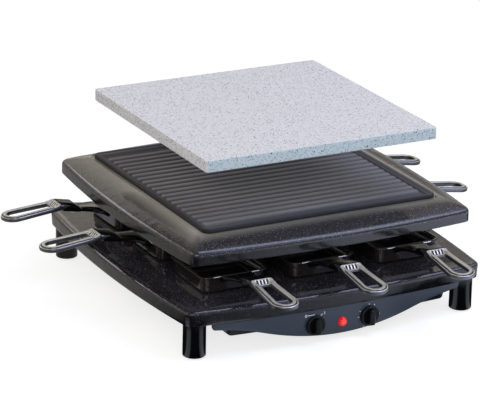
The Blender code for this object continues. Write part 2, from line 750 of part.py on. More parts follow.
def make_plate():
    """Cast plate with a raised rim, a shallow tub below and ridges from left to right."""
    tub = HOOD_OPENING - PLATE_PLAY
    tub_corner = HOOD_OPENING_CORNER - PLATE_PLAY
    bottom = HOOD_LAND - PLATE_TUB_DEPTH
    inner = PLATE_HALF - PLATE_RIM_WIDTH
    sizes = [
        (tub - PLATE_TUB_ROUND, tub_corner - PLATE_TUB_ROUND, bottom),
        (tub, tub_corner, bottom + PLATE_TUB_ROUND),
        (tub, tub_corner, PLATE_SEAT),
        (PLATE_HALF, PLATE_CORNER, PLATE_SEAT),
        (PLATE_HALF - PLATE_RIM_ROUND * 0.25, PLATE_CORNER, PLATE_TOP - PLATE_RIM_ROUND),
        (PLATE_HALF - PLATE_RIM_ROUND, PLATE_CORNER, PLATE_TOP),
        (inner + PLATE_RIM_ROUND * 0.5, PLATE_CORNER * 0.6, PLATE_TOP),
        (inner, PLATE_CORNER * 0.5, PLATE_TOP - PLATE_RIM_ROUND),
        (inner - PLATE_RIM_ROUND, PLATE_CORNER * 0.4, PLATE_FLOOR),
    ]
    plate = loft(
        "grill_plate",
        [rectangle(half, half, corner, level) for half, corner, level in sizes],
        CAST_PLATE,
    )
    low, high = PLATE_FLOOR - RIDGE_SINK, PLATE_FLOOR + RIDGE_HEIGHT
    slope = (RIDGE_WIDTH - RIDGE_TOP_WIDTH) / 2
    end, top_end = RIDGE_HALF_LENGTH, RIDGE_HALF_LENGTH - slope
    shape = bmesh.new()
    first = -RIDGE_PITCH * (RIDGE_COUNT - 1) / 2
    for i in range(RIDGE_COUNT):
        cube = bmesh.ops.create_cube(shape, size=1.0)["verts"]
        for vert in cube:
            side_x, side_y, up = vert.co.x * 2, vert.co.y * 2, vert.co.z > 0
            length, width = (top_end, RIDGE_TOP_WIDTH) if up else (end, RIDGE_WIDTH)
            level = high if up else low
            vert.co = (side_x * length, first + i * RIDGE_PITCH + side_y * width / 2, level)
    ridges = finish("ridges", shape, CAST_PLATE, cutter=True)
    combine(plate, ridges, "UNION")


def make_stone():
    """Granite slab with small chamfers, held above the plate."""
    bottom = PLATE_TOP + STONE_LIFT
    top = bottom + STONE_THICKNESS
    sizes = [
        (STONE_HALF - STONE_CHAMFER, bottom),
        (STONE_HALF, bottom + STONE_CHAMFER),
        (STONE_HALF, top - STONE_CHAMFER),
        (STONE_HALF - STONE_CHAMFER, top),
    ]
    loft(
        "stone_slab",
        [rectangle(half, half, STONE_CORNER, level) for half, level in sizes],
        STONE,
    )


def make_heater():
    """Tubular element whose legs stand on a terminal block inside the column."""
    level, half, corner = ELEMENT_LEVEL, ELEMENT_HALF, ELEMENT_CORNER
    foot = BLOCK_BOTTOM + BLOCK_HEIGHT + CLEAR
    left, leg_y = -ELEMENT_LEG_X, ELEMENT_LEG_Y
    points = [
        (left, leg_y, foot), (left, leg_y, level), (left, -half, level), (-half, -half, level),
        (-half, half, level), (half, half, level), (half, -half, level), (-left, -half, level),
        (-left, leg_y, level), (-left, leg_y, foot),
    ]
    bends = [ELEMENT_BEND] * 2 + [corner] * 4 + [ELEMENT_BEND] * 2
    tube("heating_element", bent_path(points, bends), ELEMENT_RADIUS, TUBE_STEEL)

    box(
        "terminal_bracket",
        (2 * (COLUMN_HALF - COLUMN_WALL - CLEAR), BRACKET_WIDTH, SHEET),
        (0, 0, DECK + BRACKET_RISE + SHEET / 2), STEEL,
    )
    box(
        "terminal_block", (BLOCK_LENGTH, BLOCK_WIDTH, BLOCK_HEIGHT),
        (0, 0, BLOCK_BOTTOM + BLOCK_HEIGHT / 2), CERAMIC,
    )


def pan_rings():
    """Cup that runs up the outside, over the rim and down the inside."""
    wall = PAN_HALF - PAN_RIM_WIDTH
    foot = wall - PAN_TAPER
    low = PAN_BOTTOM
    sizes = [
        (foot - PAN_FLOOR_ROUND, low),
        (foot, low + PAN_FLOOR_ROUND),
        (wall, PAN_RIM - SHEET),
        (PAN_HALF, PAN_RIM - SHEET),
        (PAN_HALF, PAN_RIM),
        (wall - SHEET, PAN_RIM),
        (foot - SHEET, low + SHEET + PAN_FLOOR_ROUND),
        (foot - SHEET - PAN_FLOOR_ROUND, low + SHEET),
    ]
    return [
        rectangle(half, half, PAN_CORNER - (PAN_HALF - half) * 0.5, level) for half, level in sizes
    ]


def neck_rings():
    """Sections from the pan's wall outward to the grip; outward is -Y."""
    wall = PAN_HALF - PAN_RIM_WIDTH + CLEAR
    outside = PAN_HALF + CLEAR
    under_rim = PAN_RIM - SHEET - CLEAR
    low = PAN_RIM - NECK_ROOT_DROP
    shoulder = outside + NECK_SHOULDER_RUN
    shoulder_top = PAN_RIM + NECK_SHOULDER_RISE
    strap = PAN_HALF + NECK_STRAP_END
    strap_top = PAN_RIM + NECK_STRAP_RISE
    middle_width = NECK_END_WIDTH + (NECK_ROOT_WIDTH - NECK_END_WIDTH) * 0.2
    middle_top = (shoulder_top + strap_top) / 2
    block_top = PAN_RIM + NECK_TOP_RISE
    sections = [
        (wall, NECK_ROOT_WIDTH, low, under_rim),
        (outside, NECK_ROOT_WIDTH, low, under_rim),
        (shoulder, NECK_ROOT_WIDTH, shoulder_top - NECK_STRAP_THICKNESS * 1.5, shoulder_top),
        ((shoulder + strap) / 2, middle_width, middle_top - NECK_STRAP_THICKNESS, middle_top),
        (strap, NECK_END_WIDTH, strap_top - NECK_STRAP_THICKNESS, strap_top),
        (PAN_HALF + NECK_BLOCK_START, NECK_END_WIDTH,
         block_top - NECK_BLOCK_FALL - NECK_BLOCK_DEPTH, block_top - NECK_BLOCK_FALL),
        (PAN_HALF + NECK_LENGTH, NECK_END_WIDTH, block_top - NECK_BLOCK_DEPTH, block_top),
    ]
    rings = []
    for distance, width, bottom, top in sections:
        ring = rectangle(width / 2, (top - bottom) / 2, NECK_EDGE, 0, 1)
        middle = (top + bottom) / 2
        rings.append([(x, -distance, middle + y) for x, y, _ in ring])
    return rings


def grip_outlines():
    """Loop with a long finger slot and four short slots across its head."""
    tip = (0, GRIP_LENGTH - GRIP_TIP_RADIUS)
    head = GRIP_HEAD_HALF - GRIP_HEAD_CORNER
    outer = hull(
        [
            (-head, GRIP_HEAD_CORNER, GRIP_HEAD_CORNER),
            (head, GRIP_HEAD_CORNER, GRIP_HEAD_CORNER),
            (*tip, GRIP_TIP_RADIUS),
        ], 4,
    )
    slot_head = GRIP_SLOT_HEAD_HALF - GRIP_SLOT_CORNER
    slot_y = GRIP_SLOT_START + GRIP_SLOT_CORNER
    slot = hull(
        [
            (-slot_head, slot_y, GRIP_SLOT_CORNER),
            (slot_head, slot_y, GRIP_SLOT_CORNER),
            (*tip, GRIP_TIP_RADIUS - GRIP_BAR_WIDTH),
        ], 3,
    )
    outlines = [outer, slot]
    for i in range(VENT_COUNT):
        x = (i - (VENT_COUNT - 1) / 2) * VENT_PITCH
        ends = [(x, VENT_START + VENT_RADIUS, VENT_RADIUS)]
        ends.append((x, VENT_START + VENT_LENGTH - VENT_RADIUS, VENT_RADIUS))
        outlines.append(hull(ends, 2))
    return outlines


def make_pans():
    """Eight pans, each with a neck and a grip; every copy shares the first one's data."""
    grip_start = PAN_HALF + NECK_LENGTH + CLEAR + GRIP_THICKNESS / 2 * math.sin(GRIP_SLOPE)
    grip_level = PAN_RIM + NECK_TOP_RISE - GRIP_THICKNESS * 0.6
    root_y = PAN_HALF - PAN_RIM_WIDTH + CLEAR
    root_level = PAN_RIM - NECK_ROOT_DROP
    shared = {}
    for name, step_x, step_y, turn, droop in PAN_PLACES:
        if not shared:
            pan = loft(f"pan_{name}", pan_rings(), PAN_COAT)
            neck = loft(f"pan_{name}_neck", neck_rings(), BLACK_GLOSS)
            grip = flat(f"pan_{name}_grip", grip_outlines(), GRIP_THICKNESS, GRIP_GREY)
            shared = {"pan": pan.data, "neck": neck.data, "grip": grip.data}
        else:
            pan = bpy.data.objects.new(f"pan_{name}", shared["pan"])
            neck = bpy.data.objects.new(f"pan_{name}_neck", shared["neck"])
            grip = bpy.data.objects.new(f"pan_{name}_grip", shared["grip"])
            for item in (pan, neck, grip):
                PARTS.objects.link(item)
        pan.location = (step_x * PAN_PITCH, step_y * PAN_PITCH, 0)
        pan.rotation_euler = (0, 0, math.radians(turn))
        handle = bpy.data.objects.new(f"pan_{name}_handle", None)
        PARTS.objects.link(handle)
        handle.parent = pan
        handle.location = (0, -root_y, root_level)
        handle.rotation_euler = (droop, 0, 0)
        neck.parent = handle
        neck.location = (0, root_y, -root_level)
        grip.parent = handle
        grip.location = (0, root_y - grip_start, grip_level - root_level)
        grip.rotation_euler = (-GRIP_SLOPE, 0, math.pi)
        weld(grip)
        bevel = grip.modifiers.new("edges", "BEVEL")
        bevel.width = GRIP_EDGE
        bevel.segments = 1
        bevel.limit_method = "ANGLE"
        bevel.angle_limit = math.radians(60)


def panel_front(x):
    """Y of the panel's face, which follows the bow of the base."""
    return -PANEL_FRONT + PANEL_BOW_RADIUS - math.sqrt(PANEL_BOW_RADIUS ** 2 - x ** 2)


def panel_bottom(x):
    """Height of the panel's lower edge: an arc in the middle, then a hollow wing."""
    share = abs(x) / PANEL_ARC_HALF
    middle = PANEL_TOP - PANEL_DROP
    if share <= 1:
        return middle + PANEL_ARC_RISE * share ** 2
    span = PANEL_HALF_WIDTH - PANEL_ARC_HALF
    steep = 2 * PANEL_ARC_RISE * span / PANEL_ARC_HALF
    beyond = (abs(x) - PANEL_ARC_HALF) / span
    return middle + PANEL_ARC_RISE + steep * beyond - (steep - PANEL_WING_RISE) * beyond ** 2


def panel_hole(name, x, level, radius):
    """Round cutter through the panel."""
    return rod(
        name, radius, 2 * (PANEL_THICKNESS + OVERRUN), (x, panel_front(x), level),
        STEEL, turn=(math.pi / 2, 0, 0), cutter=True,
    )


def make_panel():
    """Bowed front panel, and the hollow housing behind it."""
    count = 24
    stations = [PANEL_HALF_WIDTH * (2 * i / count - 1) for i in range(count + 1)]
    rings = []
    for x in stations:
        front = panel_front(x)
        back = front + PANEL_THICKNESS
        low = panel_bottom(x)
        rings.append([(x, front, PANEL_TOP), (x, front, low), (x, back, low), (x, back, PANEL_TOP)])
    panel = loft("control_panel", rings, PANEL_GREY)
    for name, x in (("switch_hole", KNOB_X[0]), ("thermostat_hole", KNOB_X[1])):
        combine(panel, panel_hole(name, x, KNOB_LEVEL, PANEL_HOLE_RADIUS), "DIFFERENCE")
    lamp_hole = panel_hole("lamp_hole", LAMP_X, LAMP_LEVEL, LAMP_STEM_RADIUS + CLEAR)
    combine(panel, lamp_hole, "DIFFERENCE")

    back = -PANEL_FRONT + HOUSING_DEPTH
    housing = loft(
        "control_housing",
        housing_rings(HOUSING_HALF_WIDTH, 0, PANEL_THICKNESS + CLEAR, back), PANEL_GREY,
    )
    inner = loft(
        "housing_inside",
        housing_rings(HOUSING_HALF_WIDTH - HOUSING_WALL, HOUSING_WALL,
                      PANEL_THICKNESS - OVERRUN, back - HOUSING_WALL),
        PANEL_GREY, cutter=True,
    )
    combine(housing, inner, "DIFFERENCE")
    combine(housing, cable_cut("housing_cable_cut"), "DIFFERENCE")


def housing_rings(half_width, inset, setback, back):
    """Sections of the housing from left to right, shrunk by the inset."""
    count = 16
    wing = PANEL_TOP - HOUSING_WING_HEIGHT
    rings = []
    for i in range(count + 1):
        x = half_width * (2 * i / count - 1)
        arc_rise = PANEL_ARC_RISE * (x / PANEL_ARC_HALF) ** 2
        middle = PANEL_TOP - PANEL_DROP + HOUSING_LIFT + arc_rise
        low = min(wing, middle) + inset
        high = PANEL_TOP - inset
        front = panel_front(x) + setback
        rings.append([(x, front, high), (x, front, low), (x, back, low), (x, back, high)])
    return rings


def make_controls():
    """Knobs on their shafts, the switch, the thermostat and the lamp."""
    forward = (math.pi / 2, 0, 0)
    names = ("switch", "thermostat")
    depths = (SWITCH_DEPTH, THERMOSTAT_DEPTH)
    halves = (SWITCH_WIDTH / 2, THERMOSTAT_RADIUS)
    for name, x, depth, half in zip(names, KNOB_X, depths, halves):
        knob_back = panel_front(abs(x) - KNOB_RADIUS) - KNOB_GAP
        knob = turned(
            f"{name}_knob",
            [
                (0, KNOB_SKIRT),
                (KNOB_RADIUS - KNOB_EDGE, KNOB_SKIRT),
                (KNOB_RADIUS, KNOB_SKIRT - KNOB_EDGE),
                (KNOB_RADIUS, 0),
                (0, 0),
            ],
            BLACK_MATTE, steps=24,
        )
        bar_half = math.sqrt((KNOB_RADIUS - KNOB_EDGE) ** 2 - (KNOB_BAR_WIDTH / 2) ** 2)
        sizes = [
            (KNOB_BAR_WIDTH / 2, bar_half, KNOB_SKIRT - KNOB_EDGE),
            (KNOB_BAR_WIDTH * 0.45, bar_half * 0.97, KNOB_SKIRT + KNOB_BAR_DEPTH - KNOB_EDGE),
            (KNOB_BAR_WIDTH * 0.35, bar_half * 0.9, KNOB_SKIRT + KNOB_BAR_DEPTH),
        ]
        bar = loft(
            f"{name}_bar",
            [rectangle(a, b, KNOB_BAR_CORNER, level, 2) for a, b, level in sizes],
            BLACK_MATTE, cutter=True,
        )
        bore = rod(
            f"{name}_bore", SHAFT_RADIUS + CLEAR, 2 * KNOB_BORE_DEPTH, (0, 0, 0),
            BLACK_MATTE, cutter=True,
        )
        for item in (knob, bar, bore):
            item.location = (x, knob_back, KNOB_LEVEL)
            item.rotation_euler = forward
        combine(knob, bar, "UNION")
        combine(knob, bore, "DIFFERENCE")

        body_front = panel_front(abs(x) + half) + PANEL_THICKNESS + CLEAR
        shaft_front = knob_back - KNOB_BORE_DEPTH + CLEAR
        shaft_back = body_front + SHAFT_SEAT
        rod(
            f"{name}_shaft", SHAFT_RADIUS, shaft_back - shaft_front,
            (x, (shaft_back + shaft_front) / 2, KNOB_LEVEL), STEEL, turn=forward,
        )
        centre = (x, body_front + depth / 2, KNOB_LEVEL)
        if name == "switch":
            body = box("rotary_switch", (SWITCH_WIDTH, depth, SWITCH_HEIGHT), centre, BLACK_MATTE)
        else:
            body = rod("thermostat", THERMOSTAT_RADIUS, depth, centre, STEEL, turn=forward)
        socket = rod(
            f"{name}_socket", SHAFT_RADIUS + CLEAR, 2 * (SHAFT_SEAT + CLEAR),
            (x, body_front, KNOB_LEVEL), STEEL, turn=forward, cutter=True,
        )
        combine(body, socket, "DIFFERENCE")

    dome = [
        (LAMP_RADIUS * math.sin(math.radians(a)), CLEAR + LAMP_DOME * math.cos(math.radians(a)))
        for a in (0, 25, 50, 75, 90)
    ]
    stem = -PANEL_THICKNESS
    lens = turned(
        "lamp_lens",
        [*dome[:-1], (LAMP_RADIUS, CLEAR), (LAMP_STEM_RADIUS, CLEAR), (LAMP_STEM_RADIUS, stem),
         (0, stem)],
        LAMP_RED,
    )
    lens.location = (LAMP_X, panel_front(LAMP_X), LAMP_LEVEL)
    lens.rotation_euler = forward
    holder_front = panel_front(LAMP_HOLDER_RADIUS) + PANEL_THICKNESS + CLEAR
    rod(
        "lamp_holder", LAMP_HOLDER_RADIUS, LAMP_HOLDER_LENGTH,
        (LAMP_X, holder_front + LAMP_HOLDER_LENGTH / 2, LAMP_LEVEL), BLACK_MATTE, turn=forward,
    )


def make_gland():
    """Moulded bush in the back wall where the cord comes in."""
    wall = BASE_HALF - BASE_DRAFT / 2
    gland = turned(
        "cord_gland",
        [
            (GLAND_BORE_RADIUS, GLAND_FLANGE_LENGTH),
            (GLAND_FLANGE_RADIUS, GLAND_FLANGE_LENGTH),
            (GLAND_FLANGE_RADIUS, 0),
            (GLAND_BODY_RADIUS, 0),
            (GLAND_BODY_RADIUS, -GLAND_BODY_LENGTH),
            (GLAND_BORE_RADIUS, -GLAND_BODY_LENGTH),
        ],
        BLACK_MATTE, closed=True,
    )
    gland.location = (0, wall + BASE_DRAFT / 2 + CLEAR, GLAND_LEVEL)
    gland.rotation_euler = (-math.pi / 2, 0, 0)


def make_wires():
    """Mains wires from the gland, and the wires between the controls and the heater."""
    start = BASE_HALF - GLAND_BODY_LENGTH * 0.8
    hole_y = CABLE_HOLE_Y + CABLE_HOLE_DEPTH / 2
    switch_x, thermostat_x = KNOB_X
    switch_back = panel_front(abs(switch_x) + SWITCH_WIDTH / 2) + PANEL_THICKNESS + 2 * CLEAR
    switch_back += SWITCH_DEPTH
    thermostat_back = panel_front(thermostat_x + THERMOSTAT_RADIUS) + PANEL_THICKNESS + 2 * CLEAR
    thermostat_back += THERMOSTAT_DEPTH
    lamp_back = panel_front(LAMP_HOLDER_RADIUS) + PANEL_THICKNESS + 2 * CLEAR + LAMP_HOLDER_LENGTH
    terminal_z = BLOCK_BOTTOM - CLEAR
    terminal_y = BLOCK_WIDTH / 2 - WIRE_RADIUS * 2
    side = COLUMN_HALF + COLUMN_FLANGE + WIRE_SPACING * 2
    high = KNOB_LEVEL + WIRE_SPACING * 1.5
    gap = WIRE_SPACING / 2
    slot_x = CABLE_HOLE_HALF / 2

    live = [
        (-gap, start, GLAND_LEVEL), (-gap, start - GLAND_BODY_LENGTH * 2, WIRE_LEVEL),
        (-side, start - side, WIRE_LEVEL), (-side, -side, WIRE_LEVEL),
        (-slot_x, hole_y + side, WIRE_LEVEL), (-slot_x, hole_y, WIRE_LEVEL),
        (-slot_x, hole_y, high), (switch_x, hole_y, high), (switch_x, switch_back, high),
    ]
    neutral = [
        (gap, start, GLAND_LEVEL), (gap, start - GLAND_BODY_LENGTH * 2, WIRE_LEVEL),
        (gap, terminal_y, WIRE_LEVEL), (gap, terminal_y, terminal_z),
    ]
    wire("wire_live", live)
    wire("wire_neutral", neutral)

    feed = [
        (thermostat_x, thermostat_back, high), (thermostat_x, hole_y, high),
        (slot_x, hole_y, high), (slot_x, hole_y, WIRE_LEVEL),
        (slot_x, -terminal_y, WIRE_LEVEL), (slot_x, -terminal_y, terminal_z),
    ]
    low = KNOB_LEVEL - WIRE_SPACING
    behind = max(switch_back, thermostat_back) + WIRE_LEAD
    link = [
        (switch_x, switch_back, low), (switch_x, behind, low), (thermostat_x, behind, low),
        (thermostat_x, thermostat_back, low),
    ]
    lamp_level = LAMP_LEVEL + WIRE_SPACING
    lamp = [
        (LAMP_X - gap, lamp_back, lamp_level), (LAMP_X - gap, behind, lamp_level),
        (switch_x + WIRE_SPACING, behind, KNOB_LEVEL),
        (switch_x + WIRE_SPACING, switch_back, KNOB_LEVEL),
    ]
    wire("wire_element", feed)
    wire("wire_link", link)
    wire("wire_lamp", lamp)


def wire(name, route):
    """Sleeved wire along a route with rounded bends."""
    path = bent_path(route, [WIRE_BEND] * (len(route) - 2), 3)
    tube(name, path, WIRE_RADIUS, WIRE_SLEEVE, 1)


def main():
    """Build every piece of the grill."""
    make_base()
    make_legs()
    make_column()
    make_carrier()
    make_hood()
    make_plate()
    make_stone()
    make_heater()
    make_pans()
    make_panel()
    make_controls()
    make_gland()
    make_wires()


main()
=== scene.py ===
"""Looks of the raclette grill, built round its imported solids.

Metres, +Z up, the control panel facing -Y, the origin between the feet on the table.
Each piece repeats the sizes of its solid and adds the roundings, ribs and grain of the
real one.
"""
import math

import bpy
import numpy as np
from mathutils import Matrix, Vector


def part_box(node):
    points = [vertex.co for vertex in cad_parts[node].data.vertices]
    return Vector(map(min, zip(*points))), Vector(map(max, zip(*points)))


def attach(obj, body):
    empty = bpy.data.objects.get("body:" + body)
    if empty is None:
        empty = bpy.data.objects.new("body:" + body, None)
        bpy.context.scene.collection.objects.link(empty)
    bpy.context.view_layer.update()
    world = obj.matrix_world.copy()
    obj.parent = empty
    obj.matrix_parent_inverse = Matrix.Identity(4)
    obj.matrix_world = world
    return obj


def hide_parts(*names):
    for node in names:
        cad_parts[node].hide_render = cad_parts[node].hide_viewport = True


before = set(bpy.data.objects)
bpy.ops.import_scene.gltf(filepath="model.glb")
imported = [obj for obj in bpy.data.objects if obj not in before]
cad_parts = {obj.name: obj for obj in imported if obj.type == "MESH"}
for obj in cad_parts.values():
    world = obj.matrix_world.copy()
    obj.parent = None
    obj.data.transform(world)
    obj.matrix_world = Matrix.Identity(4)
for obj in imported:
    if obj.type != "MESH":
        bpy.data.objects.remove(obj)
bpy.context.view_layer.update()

QUARTER = math.pi / 2

# Sizes of the solids
SHEET = 0.0012
CLEAR = 0.0003
BASE_HALF, BASE_BOW, BASE_CORNER = 0.2235, 0.013, 0.014
BASE_LOW, BASE_TOP, GROOVE, DECK = 0.0455, 0.0652, 0.0643, 0.0685
BASE_DRAFT, GROOVE_START, GROOVE_END, SHOULDER_END = 0.001, 0.0105, 0.0225, 0.0425
BASE_OPENING = 0.028
LEG_OFFSET, LEG_RADIUS = 0.193, 0.0147
HOOD_HALF, HOOD_BOW, HOOD_CORNER = 0.211, 0.0117, 0.0115
HOOD_LOW, HOOD_LAND, HOOD_DROP, HOOD_EDGE = 0.1206, 0.147, 0.0079, 0.0068
HOOD_OPENING, HOOD_OPENING_CORNER, HOOD_LAND_WIDTH, HOOD_LIP = 0.1615, 0.01, 0.009, 0.0045
PLATE_HALF, PLATE_CORNER, PLATE_SEAT = 0.167, 0.01, 0.1473
PLATE_FLOOR, PLATE_TOP, PLATE_UNDER = 0.1478, 0.1522, 0.142
RIDGE_PITCH, RIDGE_HALF, RIDGE_HEIGHT = 0.0145, 0.1555, 0.0032
RIDGE_WIDTH, RIDGE_TOP_WIDTH = 0.0112, 0.0056
STONE_HALF, STONE_CORNER, STONE_LOW, STONE_TOP = 0.165, 0.004, 0.2263, 0.2418
ELEMENT_LEVEL, ELEMENT_HALF, ELEMENT_CORNER, ELEMENT_RADIUS = 0.131, 0.125, 0.025, 0.00325
PAN_PITCH, PAN_HALF, PAN_CORNER, PAN_RIM_WIDTH = 0.125, 0.048, 0.012, 0.003
PAN_LOW, PAN_RIM, PAN_TAPER, PAN_ROUND = 0.0688, 0.091, 0.0015, 0.003
ROOT_Y, ROOT_LEVEL = 0.0453, 0.083
GRIP_LENGTH, GRIP_THICKNESS, GRIP_SLOPE = 0.081, 0.0065, math.radians(5)
GRIP_START, GRIP_LEVEL = 0.11028, 0.1024
PANEL_TOP, PANEL_DROP, PANEL_FRONT, PANEL_THICKNESS = 0.0452, 0.0372, 0.2215, 0.003
PANEL_HALF, PANEL_ARC_HALF, PANEL_ARC_RISE, PANEL_WING_RISE = 0.1775, 0.104667, 0.0156, 0.0137
PANEL_BOW_RADIUS = ((BASE_HALF - BASE_BOW) ** 2 + BASE_BOW ** 2) / (2 * BASE_BOW)
HOUSING_HALF, HOUSING_WING, HOUSING_LIFT, HOUSING_DEPTH = 0.157, 0.0193, 0.0015, 0.0345
KNOB_X, KNOB_LEVEL, KNOB_RADIUS = (-0.038, 0.04), 0.025, 0.0132
LAMP_X, LAMP_LEVEL, LAMP_RADIUS, LAMP_DOME = 0.001, 0.0235, 0.0063, 0.0042

# Steps across and back, turn and droop in degrees
PANS = (
    ("front_left", -1, -1, 0, 0),
    ("front_middle", 0, -1, 0, 0),
    ("front_right", 1, -1, 0, 0),
    ("left_middle", -1, 0, -90, 0),
    ("left_back", -1, 1, -90, 0),
    ("right_middle", 1, 0, 90, 2.8),
    ("right_back", 1, 1, 90, 2.8),
    ("back_middle", 0, 1, 180, 0),
)


# Camera first: the photograph's viewing angle

# What the camera and the lamps look at
AIM = Vector((0, 0, 0.12))


def way_off(turn, rise):
    """Way to a place round the grill: its turn from the front and its rise, in degrees."""
    turn, rise = math.radians(turn), math.radians(rise)
    return Vector((math.sin(turn) * math.cos(rise), -math.cos(turn) * math.cos(rise),
                   math.sin(rise)))


def make_camera():
    """Long lens from the front left, a little above the hood."""
    # Focal length and picture width in pixels
    focal, width = 2850.43, 480
    roll, distance, shift = math.radians(1.09), 3.74231, (-0.02766, -0.01829)
    back = way_off(-27.76, 19.63)
    side = Vector((0, 0, 1)).cross(back).normalized()
    rise = back.cross(side)
    right = side * math.cos(roll) + rise * math.sin(roll)
    up = rise * math.cos(roll) - side * math.sin(roll)
    place = AIM + back * distance + right * shift[0] + up * shift[1]
    data = bpy.data.cameras.new("camera")
    data.lens = focal / width * data.sensor_width
    data.clip_end = 50
    camera = bpy.data.objects.new("camera", data)
    axes = Matrix((right, up, back)).transposed().to_4x4()
    camera.matrix_world = Matrix.Translation(place) @ axes
    bpy.context.scene.collection.objects.link(camera)
    bpy.context.scene.camera = camera


make_camera()
bpy.context.scene.view_settings.view_transform = "Standard"


# Materials

# Settings of nodes that mix colours, and of ranges with level ends
COLOUR = {"data_type": "RGBA"}
SOFT = {"interpolation_type": "SMOOTHSTEP"}


def srgb(code):
    """Linear colour of a hex code."""
    parts = [int(code[i:i + 2], 16) / 255 for i in (1, 3, 5)]
    return (*(p / 12.92 if p <= 0.04045 else ((p + 0.055) / 1.055) ** 2.4 for p in parts), 1)


def add(tree, kind, inputs, operation=None, **settings):
    """New node, handed back as the list of its open outputs.

    Its inputs are given in the order of its open sockets or by name: values, hex colours,
    sockets, or a node's outputs, of which the first one feeds it.
    """
    item = tree.nodes.new("ShaderNode" + kind)
    if operation:
        item.operation = operation
    for key, value in settings.items():
        setattr(item, key, value)
    open_inputs = [socket for socket in item.inputs if socket.enabled]
    for key, value in inputs.items() if isinstance(inputs, dict) else enumerate(inputs):
        socket = item.inputs[key] if isinstance(key, str) else open_inputs[key]
        if isinstance(value, list):
            value = value[0]
        if isinstance(value, bpy.types.NodeSocket):
            tree.links.new(value, socket)
        else:
            socket.default_value = srgb(value) if isinstance(value, str) else value
    return [socket for socket in item.outputs if socket.enabled]


def start_finish(name, **values):
    """New material, its tree, its shader and its Object coordinates."""
    material = bpy.data.materials.new(name)
    material.use_nodes = True
    tree = material.node_tree
    shader = tree.nodes["Principled BSDF"]
    for key, value in values.items():
        shader.inputs[key.replace("_", " ")].default_value = value
    place = tree.nodes.new("ShaderNodeTexCoord").outputs["Object"]
    return material, tree, shader, place


def surface(shader, place, colour, scale, detail, strength, depth):
    """Give a surface its colour, and raise it by a noise, to a depth in metres."""
    tree = shader.id_data
    height = add(tree, "TexNoise", (place, scale, detail))
    slope = add(tree, "Bump", {"Height": height, "Strength": strength, "Distance": depth})
    tree.links.new(colour[0], shader.inputs["Base Color"])
    tree.links.new(slope[0], shader.inputs["Normal"])


def speckled_enamel(name, ground, painted_sheen, gloss, bright, wave, wall):
    """Vitreous enamel on steel: near-black glass with pale grains fired into it.

    Painted shade darkens the ground and dims the grains below the height where the walls begin;
    painted sheen lightens a warm grey belt round the plate.
    """
    material, tree, shader, place = start_finish(name, Roughness=gloss, IOR=bright)
    base = add(tree, "Mix", (add(tree, "TexNoise", (place, 24, 3)), *ground), **COLOUR)
    x, y, height = add(tree, "SeparateXYZ", (place,))
    mirror = add(tree, "VectorMath", (place,), "ABSOLUTE")
    off_x, off_y, _ = add(tree, "SeparateXYZ", (mirror,))
    # Painted shade: below the height where the walls begin, the ground turns near black and the
    # grains dim
    clear = add(tree, "MapRange", (height, wall - 0.002, wall + 0.001, 0.22, 1.0))
    base = add(tree, "Mix", (clear, "#050507", base), **COLOUR)
    # Painted sheen: warm grey within 22 mm of the plate, 38 mm at its left, standing in for
    # the reflection that the enamel shows beside the plate
    ring = add(tree, "Math", (off_x, off_y), "MAXIMUM")
    near = add(tree, "MapRange", (ring, PLATE_HALF, PLATE_HALF + 0.022, 1.0, 0.0), **SOFT)
    beside = add(tree, "Math", (x, off_y))
    beside = add(tree, "MapRange", (beside, -0.022, 0.012, clear, 0.0), **SOFT)
    left = add(tree, "MapRange", (x, -PLATE_HALF - 0.038, -PLATE_HALF), **SOFT)
    outside = add(tree, "Math", (ring, PLATE_HALF - 0.002), "GREATER_THAN")
    band = add(tree, "Math", (left, beside), "MULTIPLY")
    band = add(tree, "Math", (band, outside), "MULTIPLY")
    painted_sheen_mask = add(tree, "Math", (near, band), "MAXIMUM")
    # Palest painted sheen close beside the plate on its left, towards the front, where the stone's
    # shade falls
    front = add(tree, "MapRange", (y, 0.12, -0.06), **SOFT)
    close = add(tree, "Math", (band, 1.6), "POWER")
    streak = add(tree, "Math", (close, front), "MULTIPLY")
    # The painted sheen's colour, paler towards the front left
    under = add(tree, "Mix", (streak, *painted_sheen), **COLOUR)
    colour = add(tree, "Mix", (painted_sheen_mask, base, under), **COLOUR)
    # Grains are 0.2 to 0.5 mm on the real one, drawn up to 1.2 mm across to show
    for scale, size, share, pale, seed in (
            (470, 0.3, 0.62, "#b6b3b6", 0.0), (760, 0.38, 0.45, "#7c7a86", 5.3),
            (1150, 0.44, 0.35, "#5b5966", 9.1)):
        shift = add(tree, "Mapping", (place, (seed, seed, seed)))
        reach, tone, _ = add(tree, "TexVoronoi", (shift, scale))
        grain = add(tree, "MapRange", (reach, size, size * 0.4))
        pick = add(tree, "SeparateColor", (tone,))
        # Grains dimmed on the walls by the same painted shade
        chosen = add(tree, "MapRange", (pick, share, 1.0, 0.0, clear))
        both = add(tree, "Math", (grain, chosen), "MULTIPLY")
        colour = add(tree, "Mix", (both, colour, pale), **COLOUR)
    # Slow waves of the pressed sheet, under the fired glass
    surface(shader, place, colour, wave, 1, 0.25, 0.08 / wave)
    return material


